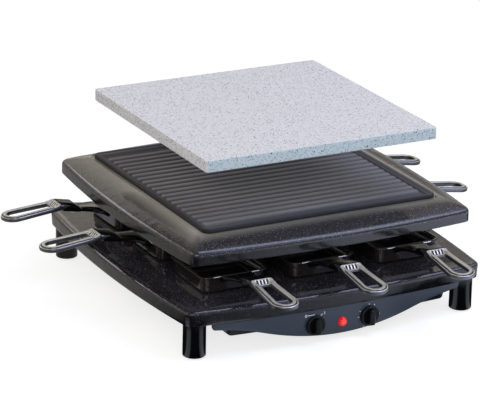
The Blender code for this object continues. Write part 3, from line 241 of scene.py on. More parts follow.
def cast_non_stick():
    """Cast aluminium under a matt coat: pebbled, paler ridge tops (wear and painted highlight),
    darker rim, painted shade at the edge, painted light in the middle.
    """
    material, tree, shader, place = start_finish("non_stick_cast_aluminium", Roughness=0.58,
                                                 IOR=1.4)
    x, _, height = add(tree, "SeparateXYZ", (place,))
    # Paler ridge tops: partly wear, partly painted highlight for the light the tops catch
    levels = [PLATE_FLOOR + RIDGE_HEIGHT * share for share in (0.35, 0.95, 1.03, 1.15)]
    rise = add(tree, "MapRange", (height, *levels[:2]))
    under_rim = add(tree, "MapRange", (height, *levels[2:], 1.0, -0.35))
    worn = add(tree, "Math", (rise, under_rim), "MULTIPLY", use_clamp=True)
    rim = add(tree, "Math", (under_rim, -2.8), "MULTIPLY", use_clamp=True)
    warm = add(tree, "MapRange", (x, -0.16, 0.02, 1.0, 0.0))
    ground = add(tree, "Mix", (warm, "#58575b", "#625f5b"), **COLOUR)
    cloud = add(tree, "TexNoise", (place, 14, 4))
    mottled = add(tree, "Mix", (cloud, ground, "#535358"), **COLOUR)
    # Painted light: paler towards the middle, on the ridges too, against the shade the stone above
    # casts there
    flat = add(tree, "VectorMath", (place, (1, 1, 0)), "MULTIPLY")
    reach = add(tree, "VectorMath", (flat,), "LENGTH")
    painted_light_middle = add(tree, "MapRange", (reach, 0.19, 0.08), **SOFT)
    floor = add(tree, "Mix", (painted_light_middle, mottled, "#605f62"), **COLOUR)
    ridges = add(tree, "Mix", (painted_light_middle, "#807f82", "#a5a4a6"), **COLOUR)
    worn_and_lit_ridges = add(tree, "Mix", (worn, floor, ridges), **COLOUR)
    edged = add(tree, "Mix", (rim, worn_and_lit_ridges, "#46474f"), **COLOUR)
    # Painted shade over the outer 2 mm, round the corners too, darkening the light on the rounded
    # edge
    straight = PLATE_HALF - PLATE_CORNER
    spot = add(tree, "VectorMath", (place,), "ABSOLUTE")
    spot = add(tree, "VectorMath", (spot, (straight, straight, 1)), "SUBTRACT")
    spot = add(tree, "VectorMath", (spot, (0, 0, 0)), "MAXIMUM")
    reach = add(tree, "VectorMath", (spot,), "LENGTH")
    painted_edge_shade = add(tree, "MapRange", (reach, PLATE_CORNER - 0.0028, PLATE_CORNER - 0.0016))
    dark = add(tree, "Mix", (painted_edge_shade, edged, "#191a1e"), **COLOUR)
    # Cast grain of about 1 mm
    surface(shader, place, dark, 900, 2, 0.35, 0.0003)
    return material


def granite():
    """Honed granite: pale feldspar ground, white quartz and dark mica flecks."""
    material, tree, shader, place = start_finish("honed_granite", Roughness=0.5, IOR=1.5)
    mottle = add(tree, "TexNoise", (place, 260, 4))
    patches = add(tree, "MapRange", (mottle, 0.35, 0.65))
    colour = add(tree, "Mix", (patches, "#dad9db", "#eae9ec"), **COLOUR)
    # Flecks of 1 to 3 mm, by cell size, reach and share of the cells that hold one
    for scale, size, share, pale, seed in (
            (700, 0.42, 0.5, "#ecebed", 0.0), (560, 0.38, 0.55, "#a3a1a5", 3.1),
            (380, 0.33, 0.6, "#67676b", 7.7), (250, 0.27, 0.62, "#414246", 11.9)):
        shift = add(tree, "Mapping", (place, (seed, seed, seed)))
        _, wander = add(tree, "TexNoise", (shift, scale * 1.7, 1))
        bent = add(tree, "VectorMath", (wander, (0.9 / scale,) * 3, shift), "MULTIPLY_ADD")
        reach, tone, _ = add(tree, "TexVoronoi", (bent, scale))
        fleck = add(tree, "MapRange", (reach, size, size * 0.6))
        pick = add(tree, "SeparateColor", (tone,))
        chosen = add(tree, "Math", (pick, share), "GREATER_THAN")
        both = add(tree, "Math", (fleck, chosen), "MULTIPLY")
        colour = add(tree, "Mix", (both, colour, pale), **COLOUR)
    # Painted light: the front face is tinted cooler, standing in for the cool light that falls on
    # it
    _, y, _ = add(tree, "SeparateXYZ", (place,))
    front = add(tree, "MapRange", (y, -0.1651, -0.1638, 1.0, 0.0))
    cool = add(tree, "Mix", (front, colour, "#d6ecf2"), blend_type="MULTIPLY", **COLOUR)
    surface(shader, place, cool, 700, 3, 0.25, 0.0002)
    return material


def moulded(name, dark, pale, gloss, grain=400, depth=0.1, **values):
    """Plastic, coat or plain metal: two close tones, uneven gloss and a fine grain."""
    material, tree, shader, place = start_finish(name, **values)
    cloud = add(tree, "TexNoise", (place, 40, 3))
    colour = add(tree, "Mix", (cloud, dark, pale), **COLOUR)
    sheen = add(tree, "MapRange", (cloud, 0.0, 1.0, gloss * 0.8, gloss * 1.25))
    tree.links.new(sheen[0], shader.inputs["Roughness"])
    surface(shader, place, colour, grain, 2, depth, 0.0003)
    return material


def lens_glow():
    """Red acrylic lens over a neon lamp: brightest in the middle, dark red at the edge."""
    material, tree, shader, place = start_finish("lit_red_acrylic", Roughness=0.12, IOR=1.49,
                                                 Emission_Strength=0.55)
    centre = add(tree, "Mapping", (place, (-LAMP_X, 0, -LAMP_LEVEL)))
    flat = add(tree, "VectorMath", (centre, (1, 0, 1)), "MULTIPLY")
    reach = add(tree, "VectorMath", (flat,), "LENGTH")
    edge = add(tree, "MapRange", (reach, 0.0015, LAMP_RADIUS))
    # Moulded diamond facets of 1.6 mm
    facets = add(tree, "TexVoronoi", (place, 620))
    mixed = add(tree, "Math", (facets, 0.5, edge), "MULTIPLY_ADD")
    colour = add(tree, "Mix", (mixed, "#ff5a4e", "#c4121c"), **COLOUR)
    for part in ("Base Color", "Emission Color"):
        tree.links.new(colour[0], shader.inputs[part])
    return material


# Speckled enamel on the hood: glassy, with painted sheen round the plate and painted shade on its
# walls
HOOD_ENAMEL = speckled_enamel("speckled_enamel", ("#201f22", "#2b2a2d"), ("#77746a", "#b3ada2"),
                              0.13, 1.48, 60, HOOD_LAND - HOOD_DROP - HOOD_EDGE)
# The same on the base: glossier, its painted sheen as dark as the ground, and painted shade on its
# walls
DECK_ENAMEL = speckled_enamel("speckled_enamel_deck", ("#1f1d20", "#29272c"),
                              ("#262428", "#262428"), 0.06, 1.45, 38, BASE_TOP - 0.004)
# Coated cast plate, matt and pebbled, and the pale stone above it
CAST = cast_non_stick()
GRANITE = granite()
# Phenolic moulding: hard, black and bright
PHENOLIC = moulded("black_phenolic", "#060608", "#0c0c0f", 0.1, 300, 0.03, IOR=1.4)
# Smooth non-stick on pressed steel: black with a wet sheen
PAN_COAT = moulded("non_stick_steel", "#1f1c1b", "#2b2725", 0.09, 60, 0.1, IOR=1.9)
# Rim of the pan, where the coat is thin and lets the steel through
PAN_EDGE = moulded("worn_rim_steel", "#3b352f", "#6a6259", 0.22, 900, 0.1, Metallic=0.7)
# Polished steel of small clips: sharp reflections
BRIGHT_STEEL = moulded("polished_steel", "#cfcfcd", "#e0dfdb", 0.12, 700, 0.03, Metallic=1.0)
# Satin nickel on die-cast zinc: soft, slightly warm, blurred reflections
GUNMETAL = moulded("satin_nickel_plate", "#bcb9b0", "#d2cfc6", 0.34, 1600, 0.06, Metallic=0.55)
# Its darker copy is painted shade, for the sides, underside, groove and rails of the grips
GUNMETAL_PAINTED_SHADE = moulded("satin_nickel_painted_shade", "#55575d", "#6d6f74", 0.28, 1600, 0.06, Metallic=0.85)
# Open vents in the head of a grip: nothing but shade inside
VENT_BLACK = moulded("vent_black", "#0b0d14", "#12141c", 0.5, 900, 0.1)
# Polypropylene with a fine spark-eroded grain: blue-grey and half matt
PANEL_PLASTIC = moulded("blue_grey_plastic", "#333c48", "#3b4552", 0.35, 1500, 0.1, IOR=1.45)
# The same moulding in black, behind the panel
HOUSING_PLASTIC = moulded("black_abs", "#0a0b0d", "#111215", 0.2, 1200, 0.06, IOR=1.35)
# Knobs: hard black plastic with a soft shine
KNOB_PLASTIC = moulded("black_knob_plastic", "#070709", "#0d0d10", 0.22, 900, 0.06, IOR=1.3)
# Pad-printed ink: flat white
PRINT = moulded("white_pad_print", "#e6eaef", "#f4f6f8", 0.6, 1500, 0.1)
# Lamp lens, lit from behind
RED_LENS = lens_glow()
# Rubber feet: black without a shine
RUBBER = moulded("black_rubber", "#101010", "#1b1b1b", 0.85, 700, 0.3)
# Zinc-plated sheet: dull grey metal
ZINC = moulded("zinc_plated_steel", "#8e8d88", "#a6a59f", 0.36, 500, 0.1, Metallic=1.0)
# Heater sheath: steel browned by heat
SHEATH = moulded("heater_sheath", "#4c463f", "#6a6158", 0.45, 800, 0.15, Metallic=1.0)
# Unglazed ceramic: chalky off-white
CERAMIC = moulded("white_ceramic", "#cfc8b8", "#e2dccd", 0.6, 600, 0.2)
# Silicone sleeve over the wires: warm grey, no shine
SLEEVE = moulded("silicone_sleeve", "#8a8680", "#a09b93", 0.7, 500, 0.2)
# Mouldings inside: plain half-matt black
MATTE = moulded("black_moulding", "#131315", "#1e1e21", 0.5, 900, 0.15)


# Mesh makers

def circle(steps):
    """Cosines and sines of a whole turn."""
    angles = np.linspace(0, 4 * QUARTER, steps, endpoint=False)
    return np.cos(angles), np.sin(angles)


def arc(x, y, radius, first, last, steps):
    """Points (steps, 2) of an arc about a centre, from one angle to another."""
    angles = np.linspace(first, last, steps)
    return np.stack([x + radius * np.cos(angles), y + radius * np.sin(angles)], axis=1)


def turned(a, b, angle):
    """Two coordinates turned by an angle."""
    c, s = math.cos(angle), math.sin(angle)
    return a * c - b * s, a * s + b * c


def spots(x, y, z):
    """Grid (..., 3) of points, from coordinates that may be single numbers."""
    return np.stack(np.broadcast_arrays(x, y, z), axis=-1)


def smooth(value, low, high):
    """0 at low, 1 at high, with level ends."""
    share = np.clip((value - low) / (high - low), 0, 1)
    return share * share * (3 - 2 * share)


def sunk(inset, radius):
    """Depth of a quarter-round edge, at a distance in from it."""
    near = np.clip(1 - inset / radius, 0, 1)
    return radius * (1 - np.sqrt(1 - near ** 2))


def outward(points, faces):
    """Turn a closed surface's faces round if it encloses a negative volume."""
    volume = sum((points[block[:, 0]] * np.cross(points[one], points[after])).sum()
                 for block in faces for one, after in zip(block.T[1:], block.T[2:]))
    return points, [block[:, ::-1] for block in faces] if volume < 0 else faces


def quads_of(index):
    """Quads between the neighbours in a grid of point numbers."""
    corners = (index[:-1, :-1], index[:-1, 1:], index[1:, 1:], index[1:, :-1])
    return np.stack(corners, axis=-1).reshape(-1, 4)


def skin(grid, along=False, caps=False):
    """Quads over a grid (rows, columns, 3) whose columns close into rings.

    The rows close into rings too if along, and caps fill both ends.
    """
    grid = np.array(grid)
    index = np.arange(grid.size // 3).reshape(grid.shape[:2])
    ends = [index[:1, ::-1], index[-1:]] if caps else []
    index = np.hstack([index, index[:, :1]])
    if along:
        index = np.vstack([index, index[:1]])
    return outward(grid.reshape(-1, 3), [quads_of(index), *ends])


def sandwich(top, bottom):
    """Closed body between two sheets (rows, columns, 3) that share their outline."""
    under = top.size // 3
    index = np.arange(under).reshape(top.shape[:2])
    edge = np.concatenate([index[0, :-1], index[:-1, -1], index[-1, :0:-1], index[:0:-1, 0]])
    step = np.roll(edge, -1)
    band = np.stack([edge, edge + under, step + under, step], axis=-1)
    points = np.concatenate([top.reshape(-1, 3), bottom.reshape(-1, 3)])
    quads = quads_of(index)
    return outward(points, [quads, quads[:, ::-1] + under, band])


def make_piece(name, shells, finishes, body, nodes=(), angle=35):
    """One mesh from closed shells that rides on a body.

    A shell is its points, its faces, and a finish number for them all or for each, if not 0.
    """
    points, faces, numbers, start = [], [], [], 0
    for corners, blocks, *finish in shells:
        points.append(corners)
        before = len(faces)
        for block in blocks:
            faces += (block + start).tolist()
        numbers.append(np.broadcast_to(finish[0] if finish else 0, len(faces) - before))
        start += len(corners)
    mesh = bpy.data.meshes.new(name)
    mesh.from_pydata(np.concatenate(points), [], faces)
    for finish in finishes:
        mesh.materials.append(finish)
    mesh.polygons.foreach_set("material_index", np.concatenate(numbers).astype(np.int32))
    mesh.shade_smooth()
    mesh.set_sharp_from_angle(angle=math.radians(angle))
    mesh.update()
    item = bpy.data.objects.new(name, mesh)
    bpy.context.scene.collection.objects.link(item)
    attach(item, body)
    if nodes:
        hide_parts(*nodes)


def bowed_square(half, bow, corner, level, side=28, turn=10):
    """Ring round a square whose sides are arcs that bow outward, with round corners."""
    if bow > 0:
        radius = ((half - bow) ** 2 + bow ** 2) / (2 * bow)
        back = radius - half
        centre = (math.sqrt(2 * (radius - corner) ** 2 - back ** 2) - back) / 2
        lean = math.atan2(centre, back + centre)
        flank = arc(-back, 0, radius, -lean, lean, side + 1)[1:-1]
    else:
        centre, lean = half - corner, 0.0
        along = np.linspace(-centre, centre, side + 1)[1:-1]
        flank = np.stack([np.full(side - 1, half), along], axis=1)
    bend = arc(centre, -centre, corner, lean - QUARTER, -lean, turn + 1)
    x, y = np.concatenate([bend, flank]).T
    return np.concatenate([spots(x * c - y * s, x * s + y * c, level)
                           for c, s in ((1, 0), (0, 1), (-1, 0), (0, -1))])


def revolved(profile, steps=48):
    """Rings about Z from (radius, height) rows, with flat caps."""
    radius, height = np.array(profile).T[..., None]
    cos, sin = circle(steps)
    return skin(spots(radius * cos, radius * sin, height), caps=True)


def spread(half, steps, power):
    """Places from side to side, closer together towards both ends."""
    share = np.linspace(-1, 1, steps)
    return half * np.sign(share) * np.abs(share) ** power


def carried(x, rows):
    """Section rows (y, level) carried across the panel's width."""
    return skin(np.stack([spots(x, *row) for row in rows], axis=1), caps=True)


# Hood and base

def hood():
    """Bowed rings carried along the hood's section, from hem to dome to lip and back.

    Two bright pegs stand by opposite corners of the plate.
    """
    edge_top = HOOD_LAND - HOOD_DROP
    lean = math.radians(72)

    def outer(inset, level):
        corner = max(HOOD_CORNER - inset, HOOD_EDGE)
        return bowed_square(HOOD_HALF - inset, HOOD_BOW, corner, level)

    def opening(outset, level):
        return bowed_square(HOOD_OPENING + outset, 0, HOOD_OPENING_CORNER + outset, level)

    def dome(drop, shares):
        inner = opening(HOOD_LAND_WIDTH, 0)
        last = outer(HOOD_EDGE * (1 - math.cos(lean)), 0)
        rings = [inner + (last - inner) * share for share in shares]
        for ring, share in zip(rings, shares):
            fall = HOOD_DROP + HOOD_EDGE * (1 - math.sin(lean))
            ring[:, 2] = HOOD_LAND - drop - fall * share ** 1.6
        return rings

    wall = np.linspace(HOOD_LOW + SHEET * 0.5, edge_top - HOOD_EDGE, 6)
    edge = arc(HOOD_EDGE, edge_top - HOOD_EDGE, HOOD_EDGE, 2 * QUARTER, 2 * QUARTER - lean, 8)
    rings = [outer(SHEET * 0.5, HOOD_LOW), outer(SHEET * 0.1, HOOD_LOW + SHEET * 0.15),
             *(outer(0, level) for level in wall), *(outer(*spot) for spot in edge[1:]),
             *dome(0, np.linspace(1, 0, 25)[1:]),
             *(opening(share * HOOD_LAND_WIDTH, HOOD_LAND) for share in (0.6, 0.12)),
             opening(0, HOOD_LAND - SHEET * 0.5), opening(0, HOOD_LAND - HOOD_LIP),
             opening(SHEET, HOOD_LAND - HOOD_LIP), opening(SHEET, HOOD_LAND - SHEET),
             *dome(SHEET, np.linspace(0, 1, 9)[:-1]),
             outer(HOOD_EDGE, edge_top - SHEET), outer(SHEET, edge_top - HOOD_EDGE),
             outer(SHEET, HOOD_LOW + SHEET * 0.3)]
    peg, blocks = revolved([(0.0022, -0.0004), (0.0022, 0.0008), (0.0018, 0.0014),
                            (0.0008, 0.0017)], 24)
    pegs = [(peg + (x, y, HOOD_LAND), blocks, 1)
            for x, y in ((0.1695, -0.1633), (-0.1637, 0.1717))]
    make_piece("hood_enamel", [skin(rings, along=True), *pegs],
               [HOOD_ENAMEL, ZINC], "base", ["hood_shell"])


def base():
    """Bowed rings carried along the base's section.

    They go up the wall, over a round rim, down into the groove and up a shoulder, which is
    a parabola, to the deck, and come back below a sheet's thickness lower.
    """
    def ring(inset, level):
        corner = max(BASE_CORNER - inset, BASE_CORNER * 0.3)
        return bowed_square(BASE_HALF - inset, BASE_BOW, corner, level)

    wall, edge = 0.0015, 0.0042
    rows = [(BASE_DRAFT + wall * 0.5, BASE_LOW), (BASE_DRAFT + wall * 0.1, BASE_LOW + wall * 0.1)]
    rows += [(BASE_DRAFT * (1 - share), BASE_LOW + (BASE_TOP - edge - BASE_LOW) * share)
             for share in np.linspace(0.03, 1, 6)]
    rows += [*arc(edge, BASE_TOP - edge, edge, 2 * QUARTER, QUARTER, 7)[1:]]
    rows += [(inset, GROOVE + (BASE_TOP - GROOVE) * (1 - smooth(inset, 0.0045, GROOVE_START)))
             for inset in np.linspace(0.0048, GROOVE_START, 8)]
    rows += [(inset, GROOVE) for inset in np.linspace(GROOVE_START, GROOVE_END, 4)[1:-1]]
    rows += [(GROOVE_END + (SHOULDER_END - GROOVE_END) * share,
              DECK - (DECK - GROOVE) * (1 - share) ** 2) for share in np.linspace(0, 1, 12)]
    rows += [(inset, DECK) for inset in (0.05, 0.08, 0.12)]
    hole = (BASE_OPENING, 0, BASE_OPENING * 0.15)
    rings = [*(ring(*row) for row in rows),
             bowed_square(*hole, DECK), bowed_square(*hole, DECK - SHEET),
             ring(SHOULDER_END, DECK - SHEET), ring(GROOVE_END, GROOVE - SHEET),
             ring(GROOVE_START, GROOVE - SHEET), ring(wall + edge, BASE_TOP - SHEET * 1.4),
             ring(BASE_DRAFT + wall, BASE_LOW)]
    make_piece("base_enamel", [skin(rings, along=True)], [DECK_ENAMEL], "base",
               ["base_shell"])


# Grill plate, stone and heating element

def rounded_corners(x, y, half, corner):
    """Move a square grid's corners on to round ones, and give each point's inset."""
    straight = half - corner
    a, b = np.abs(x) - straight, np.abs(y) - straight
    both = (a > 0) & (b > 0)
    pull = np.where(both, np.maximum(a, b) / np.maximum(np.hypot(a, b), 1e-9), 1)
    x = np.where(both, np.sign(x) * (straight + a * pull), x)
    y = np.where(both, np.sign(y) * (straight + b * pull), y)
    a, b = np.abs(x) - straight, np.abs(y) - straight
    reach = np.hypot(np.maximum(a, 0), np.maximum(b, 0)) + np.minimum(np.maximum(a, b), 0)
    return x, y, corner - reach


def grill_plate():
    """Height over the plate: a round rim, a floor and ridges that end short of the rim."""
    field = 10 * RIDGE_PITCH
    edge = np.concatenate([np.linspace(0, 0.002, 7), np.linspace(0.003, 0.006, 4),
                           np.linspace(0.0067, 0.0105, 8)])
    end = PLATE_HALF - RIDGE_HALF
    across = np.concatenate([edge, np.linspace(end - 0.0005, end + 0.0065, 9),
                             np.linspace(0.03, PLATE_HALF, 20)])
    rim = np.concatenate([edge, np.linspace(0.0125, PLATE_HALF - field, 6)[:-1]])
    across, deep = (np.unique(np.round(np.concatenate(runs), 6)) for runs in (
        (across - PLATE_HALF, PLATE_HALF - across),
        (rim - PLATE_HALF, np.linspace(-field, field, 281), PLATE_HALF - rim)))
    x, y, inset = rounded_corners(*np.meshgrid(across, deep), PLATE_HALF, PLATE_CORNER)
    # The rim is crowned by 0.3 mm
    height = PLATE_TOP - sunk(inset, 0.0018)
    height -= 0.0003 * np.clip(np.abs(inset - 0.0038) / 0.0038, 0, 1) ** 2
    height += (PLATE_FLOOR - PLATE_TOP) * smooth(inset, 0.0062, 0.0096)
    offset = np.abs(np.mod(y / RIDGE_PITCH, 1) - 0.5) * RIDGE_PITCH
    ridge = 1 - smooth(offset, RIDGE_TOP_WIDTH / 2 - 0.0006, RIDGE_WIDTH / 2 + 0.0004)
    ridge *= 1 - smooth(np.abs(x), RIDGE_HALF - 0.002, RIDGE_HALF + 0.0022)
    ridge *= np.abs(y) < field
    height += RIDGE_HEIGHT * ridge
    under = PLATE_SEAT + (PLATE_UNDER - PLATE_SEAT) * smooth(inset, 0.0062, 0.0076)
    make_piece("grill_plate_casting", [sandwich(spots(x, y, height), spots(x, y, under))],
               [CAST], "grill_plate", ["grill_plate"], 40)


def stone_slab():
    """Rounded square rings carried over a worn arris that wanders by 0.2 mm."""
    worn = 0.0009
    low, high = STONE_LOW + worn, STONE_TOP - worn
    rows = [(worn * 3, STONE_LOW), *arc(worn, low, worn, 3 * QUARTER, 2 * QUARTER, 5),
            *((0, level) for level in np.linspace(low + worn, high - worn, 5)),
            *arc(worn, high, worn, 2 * QUARTER, QUARTER, 5), (worn * 3, STONE_TOP)]
    grid = np.array([bowed_square(STONE_HALF - inset, 0, STONE_CORNER, level, 90, 5)
                     for inset, level in rows])
    wander = np.random.default_rng(4).normal(0, 0.00009, grid.shape[:2])
    wander[[0, -1]] = 0
    grid[..., :2] *= (1 - np.abs(wander) / STONE_HALF)[..., None]
    make_piece("stone_slab_granite", [skin(grid, caps=True)], [GRANITE], "stone_slab",
               ["stone_slab"], 50)


def tube_shell(path, radius, sides=16):
    """Circles carried along a path that starts upward, each square to the way it goes."""
    ahead = np.gradient(path, axis=0)
    ahead /= np.linalg.norm(ahead, axis=1)[:, None]
    aside, guide = [], np.array([1.0, 0.0, 0.0])
    for way in ahead:
        guide = guide - way * (guide @ way)
        guide /= np.linalg.norm(guide)
        aside.append(guide)
    above = np.cross(ahead, aside)
    cos, sin = np.array(circle(sides))[..., None]
    ring = cos * np.array(aside)[:, None] + sin * above[:, None]
    return skin(path[:, None] + radius * ring, caps=True)


def bent_path(points, bends):
    """Straight runs at right angles, joined by quarter circles of the radii given."""
    points = np.array(points)
    ways = np.diff(points, axis=0)
    ways /= np.linalg.norm(ways, axis=1)[:, None]
    quarter = arc(-1, 1, 1, -QUARTER, 0, 11)
    turns = [corner + radius * quarter @ ways[i:i + 2]
             for i, (corner, radius) in enumerate(zip(points[1:], bends))]
    return np.concatenate([points[:1], *turns, points[-1:]])


def heating_element():
    """Tube bent into a square loop whose two legs go down into the column."""
    level, half, bend = ELEMENT_LEVEL, ELEMENT_HALF, 0.01
    leg_x, leg_y, foot = -0.01, -0.006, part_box("terminal_block")[1].z + CLEAR
    left = [(leg_x, leg_y, foot), (leg_x, leg_y, level), (leg_x, -half, level),
            (-half, -half, level), (-half, half, level)]
    path = bent_path(left + [(-x, y, z) for x, y, z in reversed(left)],
                     [bend] * 2 + [ELEMENT_CORNER] * 4 + [bend] * 2)
    make_piece("heating_element_tube", [tube_shell(path, ELEMENT_RADIUS)], [SHEATH], "base",
               ["heating_element"])


# Pans with their necks and grips

def to_pan(points, step_x, step_y, turn, droop):
    """Turn a handle down about its root, then move it from a pan's own frame to its place.

    In its own frame a pan slides out towards -Y.
    """
    x, y, z = points.T
    y, z = turned(y + ROOT_Y, z - ROOT_LEVEL, math.radians(droop))
    x, y = turned(x, y - ROOT_Y, math.radians(turn))
    return spots(x + step_x * PAN_PITCH, y + step_y * PAN_PITCH, z + ROOT_LEVEL)


def pan_shells():
    """Pressed pan: rounded square rings up the outside, over the rim and down the inside.

    Two bright clips of the neck grip the rim, as rolls that taper at both ends.
    """
    wall, bead = PAN_HALF - PAN_RIM_WIDTH, SHEET / 2
    foot, floor = wall - PAN_TAPER, PAN_LOW + SHEET
    rows = [(foot - PAN_ROUND * 2.5, PAN_LOW),
            *arc(foot - PAN_ROUND, PAN_LOW + PAN_ROUND, PAN_ROUND, -QUARTER, 0, 6),
            (wall - 0.0004, PAN_RIM - SHEET - 0.0012), (wall + 0.0003, PAN_RIM - SHEET - 0.0003),
            (wall + 0.001, PAN_RIM - SHEET)]
    rim = [*arc(PAN_HALF - bead, PAN_RIM - bead, bead, -QUARTER, QUARTER, 7)]
    inside = [(wall + 0.0002, PAN_RIM), (wall - SHEET * 0.5, PAN_RIM - 0.0003),
              (wall - SHEET, PAN_RIM - 0.0012),
              *arc(foot - SHEET - PAN_ROUND, floor + PAN_ROUND, PAN_ROUND, 0, -QUARTER, 6),
              (foot * 0.8, floor), (foot * 0.76, floor + 0.0004), (foot * 0.4, floor + 0.0004)]
    profile = rows + rim + inside
    rings = [bowed_square(half, 0, max(PAN_CORNER - (PAN_HALF - half) * 0.5, 0.004), level, 12, 8)
             for half, level in profile]
    finish = np.zeros((len(profile) - 1, len(rings[0])))
    finish[len(rows) + 1:len(rows) + len(rim) - 1] = 1
    across = np.linspace(0.0205, 0.033, 12)[:, None]
    swell = 0.00105 * np.clip(np.minimum(across - 0.0203, 0.0332 - across) / 0.001, 0.2, 1)
    cos, sin = circle(12)
    roll = spots(across, bead - PAN_HALF + swell * cos, PAN_RIM - bead + swell * sin)
    clips = [(*skin(roll * (side, 1, 1), caps=True), 2) for side in (-1, 1)]
    return [(*skin(rings, caps=True), np.append(finish.ravel(), (0, 0))), *clips]


def neck_shell():
    """Rounded sections from the pan outward: fishtail root, flat strap and raised block."""
    stations = np.array([
        (0.0453, 0.044, 0.083, 0.0893), (0.0483, 0.044, 0.083, 0.0893),
        (0.0523, 0.0438, 0.0862, 0.0922), (0.06, 0.0385, 0.0885, 0.0934),
        (0.0674, 0.0327, 0.0905, 0.0946), (0.0755, 0.0302, 0.092, 0.0959),
        (0.0825, 0.0295, 0.0932, 0.0972), (0.0845, 0.0295, 0.0932, 0.0985),
        (0.0872, 0.0295, 0.0933, 0.1015), (0.0892, 0.0295, 0.0934, 0.1024),
        (0.1097, 0.0295, 0.0975, 0.1063),
    ]).T
    reach = np.linspace(stations[0, 0], stations[0, -1], 90)
    bands = np.array([np.interp(reach, stations[0], row) for row in stations[1:]])
    for band in bands:
        band[4:-4] = np.convolve(band, np.ones(5) / 5, "same")[4:-4]
    width, low, high = bands[..., None]
    corner = np.minimum(0.0016, (high - low) * 0.45)
    turns = (np.arange(4)[:, None] + np.linspace(0, 1, 5)).ravel() * QUARTER
    side_x, side_z = np.repeat([(1, 1), (-1, 1), (-1, -1), (1, -1)], 5, axis=0).T
    x = side_x * (width / 2 - corner) + corner * np.cos(turns)
    z = side_z * ((high - low) / 2 - corner) + corner * np.sin(turns) + (high + low) / 2
    return skin(spots(x, -reach[:, None], z), caps=True)


def hull(circles, turns, lines):
    """Outline round circles (x, y, radius) taken anticlockwise: arcs joined by tangents."""
    normals = []
    for (ax, ay, ar), (bx, by, br) in zip(circles, circles[1:] + circles[:1]):
        gap = math.hypot(bx - ax, by - ay)
        normals.append(math.atan2(by - ay, bx - ax) - math.acos((ar - br) / gap))
    arcs = []
    for circle, start, end, steps in zip(circles, normals[-1:] + normals, normals, turns):
        while end < start:
            end += 4 * QUARTER
        arcs.append(arc(*circle, start, end, steps + 1))
    outline = []
    for bend, after, steps in zip(arcs, arcs[1:] + arcs[:1], lines):
        shares = np.linspace(0, 1, steps + 1)[1:-1, None]
        outline += [bend, bend[-1] + (after[0] - bend[-1]) * shares]
    return np.concatenate(outline)


def grip_shells():
    """Section carried round the loop: outer rail, groove, raised inner band, and back below.

    Four slots sink into its head, and two pointed rails run back beside the neck.
    """
    tip_radius, bar, rail, half = 0.0185, 0.008, 0.0028, GRIP_THICKNESS / 2
    tip = (0, GRIP_LENGTH - tip_radius)
    turns, lines = (8, 8, 28), (64, 26, 26)
    outer = hull([(-0.0112, 0.004, 0.004), (0.0112, 0.004, 0.004), (*tip, tip_radius)],
                 turns, lines)
    inner = hull([(-0.0053, 0.0142, 0.0025), (0.0053, 0.0142, 0.0025),
                  (*tip, tip_radius - bar)], turns, lines)
    across = np.linspace(0, 1, 35)[:, None]
    x, y = np.moveaxis(outer + (inner - outer) * across[..., None], -1, 0)
    gap = np.linalg.norm(inner - outer, axis=1)
    from_out, from_in = across * gap, (1 - across) * gap
    on_head = 1 - smooth(y, 0.0105, 0.0145)
    step = 0.0012 * (1 - smooth(from_out, rail, rail + 0.0009))
    groove = 0.0014 * np.exp(-((from_out - rail - 0.0001) / 0.0006) ** 2)
    height = half - sunk(from_out, 0.0019) - sunk(from_in, 0.0012)
    height -= (step + groove) * (1 - 0.8 * on_head)
    # The head's middle slopes down at 41 degrees to the hole, with four vents in the slope
    high = 0.0012 * (1 - smooth(y, 0.002, 0.0085))
    slope = 0.0012 - 0.0042 * np.clip((y - 0.0036) / 0.0048, 0, 1)
    slope *= 1 - smooth(y, 0.0104, 0.0138)
    height += high + (slope - high) * (1 - smooth(np.abs(x), 0.0088, 0.0099))
    off = np.abs(x[..., None] - 0.0045 * np.array((-1.5, -0.5, 0.5, 1.5))).min(axis=-1)
    beyond = np.maximum(np.abs(y - 0.0062) - 0.0019, 0)
    vents = 1 - smooth(np.hypot(off, beyond), 0.0011, 0.0015)
    height -= 0.0016 * vents
    below = ((1.0, -0.3), (0.98, -0.75), (0.88, -1), (0.5, -1), (0.14, -1), (0.03, -0.8),
             (0.0, -0.35))
    lower = [spots(*(outer + (inner - outer) * share).T, half * level) for share, level in below]
    grid = np.concatenate([spots(x, y, height), lower])
    # Pale nickel on top; painted shade at the sides, below and in the groove (the darker nickel
    # copy), and vent black in the vents
    finish = np.ones(grid.shape[:2])
    between = (vents[:-1] + vents[1:]) / 2
    finish[:len(x) - 1] = np.where(between + np.roll(between, -1, axis=1) > 0.8, 2, 0)
    finish[:3] = 1
    finish[:len(x)][(np.abs(from_out - rail - 0.0002) < 0.0007) & (on_head < 0.4)] = 1
    shells = [(*skin(grid, along=True), finish.ravel())]
    run = np.linspace(0.0015, -0.0105, 12)[:, None]
    tall = half * np.clip((run + 0.0105) / 0.0105, 0.02, 1) ** 0.8
    aside, share = np.array([(0.0141, -1), (0.0153, -0.7), (0.0156, 0), (0.0153, 0.7),
                             (0.0141, 1)]).T
    wedge = spots(aside, run, share * tall + 0.0006)
    # The pointed rails take the darker nickel copy: painted shade
    shells += [(*skin(wedge * (side, 1, 1), caps=True), 1) for side in (-1, 1)]
    placed = []
    for points, *rest in shells:
        x, y, z = points.T
        y, z = turned(y, z, -GRIP_SLOPE)
        placed.append((spots(-x, -y - GRIP_START, z + GRIP_LEVEL), *rest))
    return placed


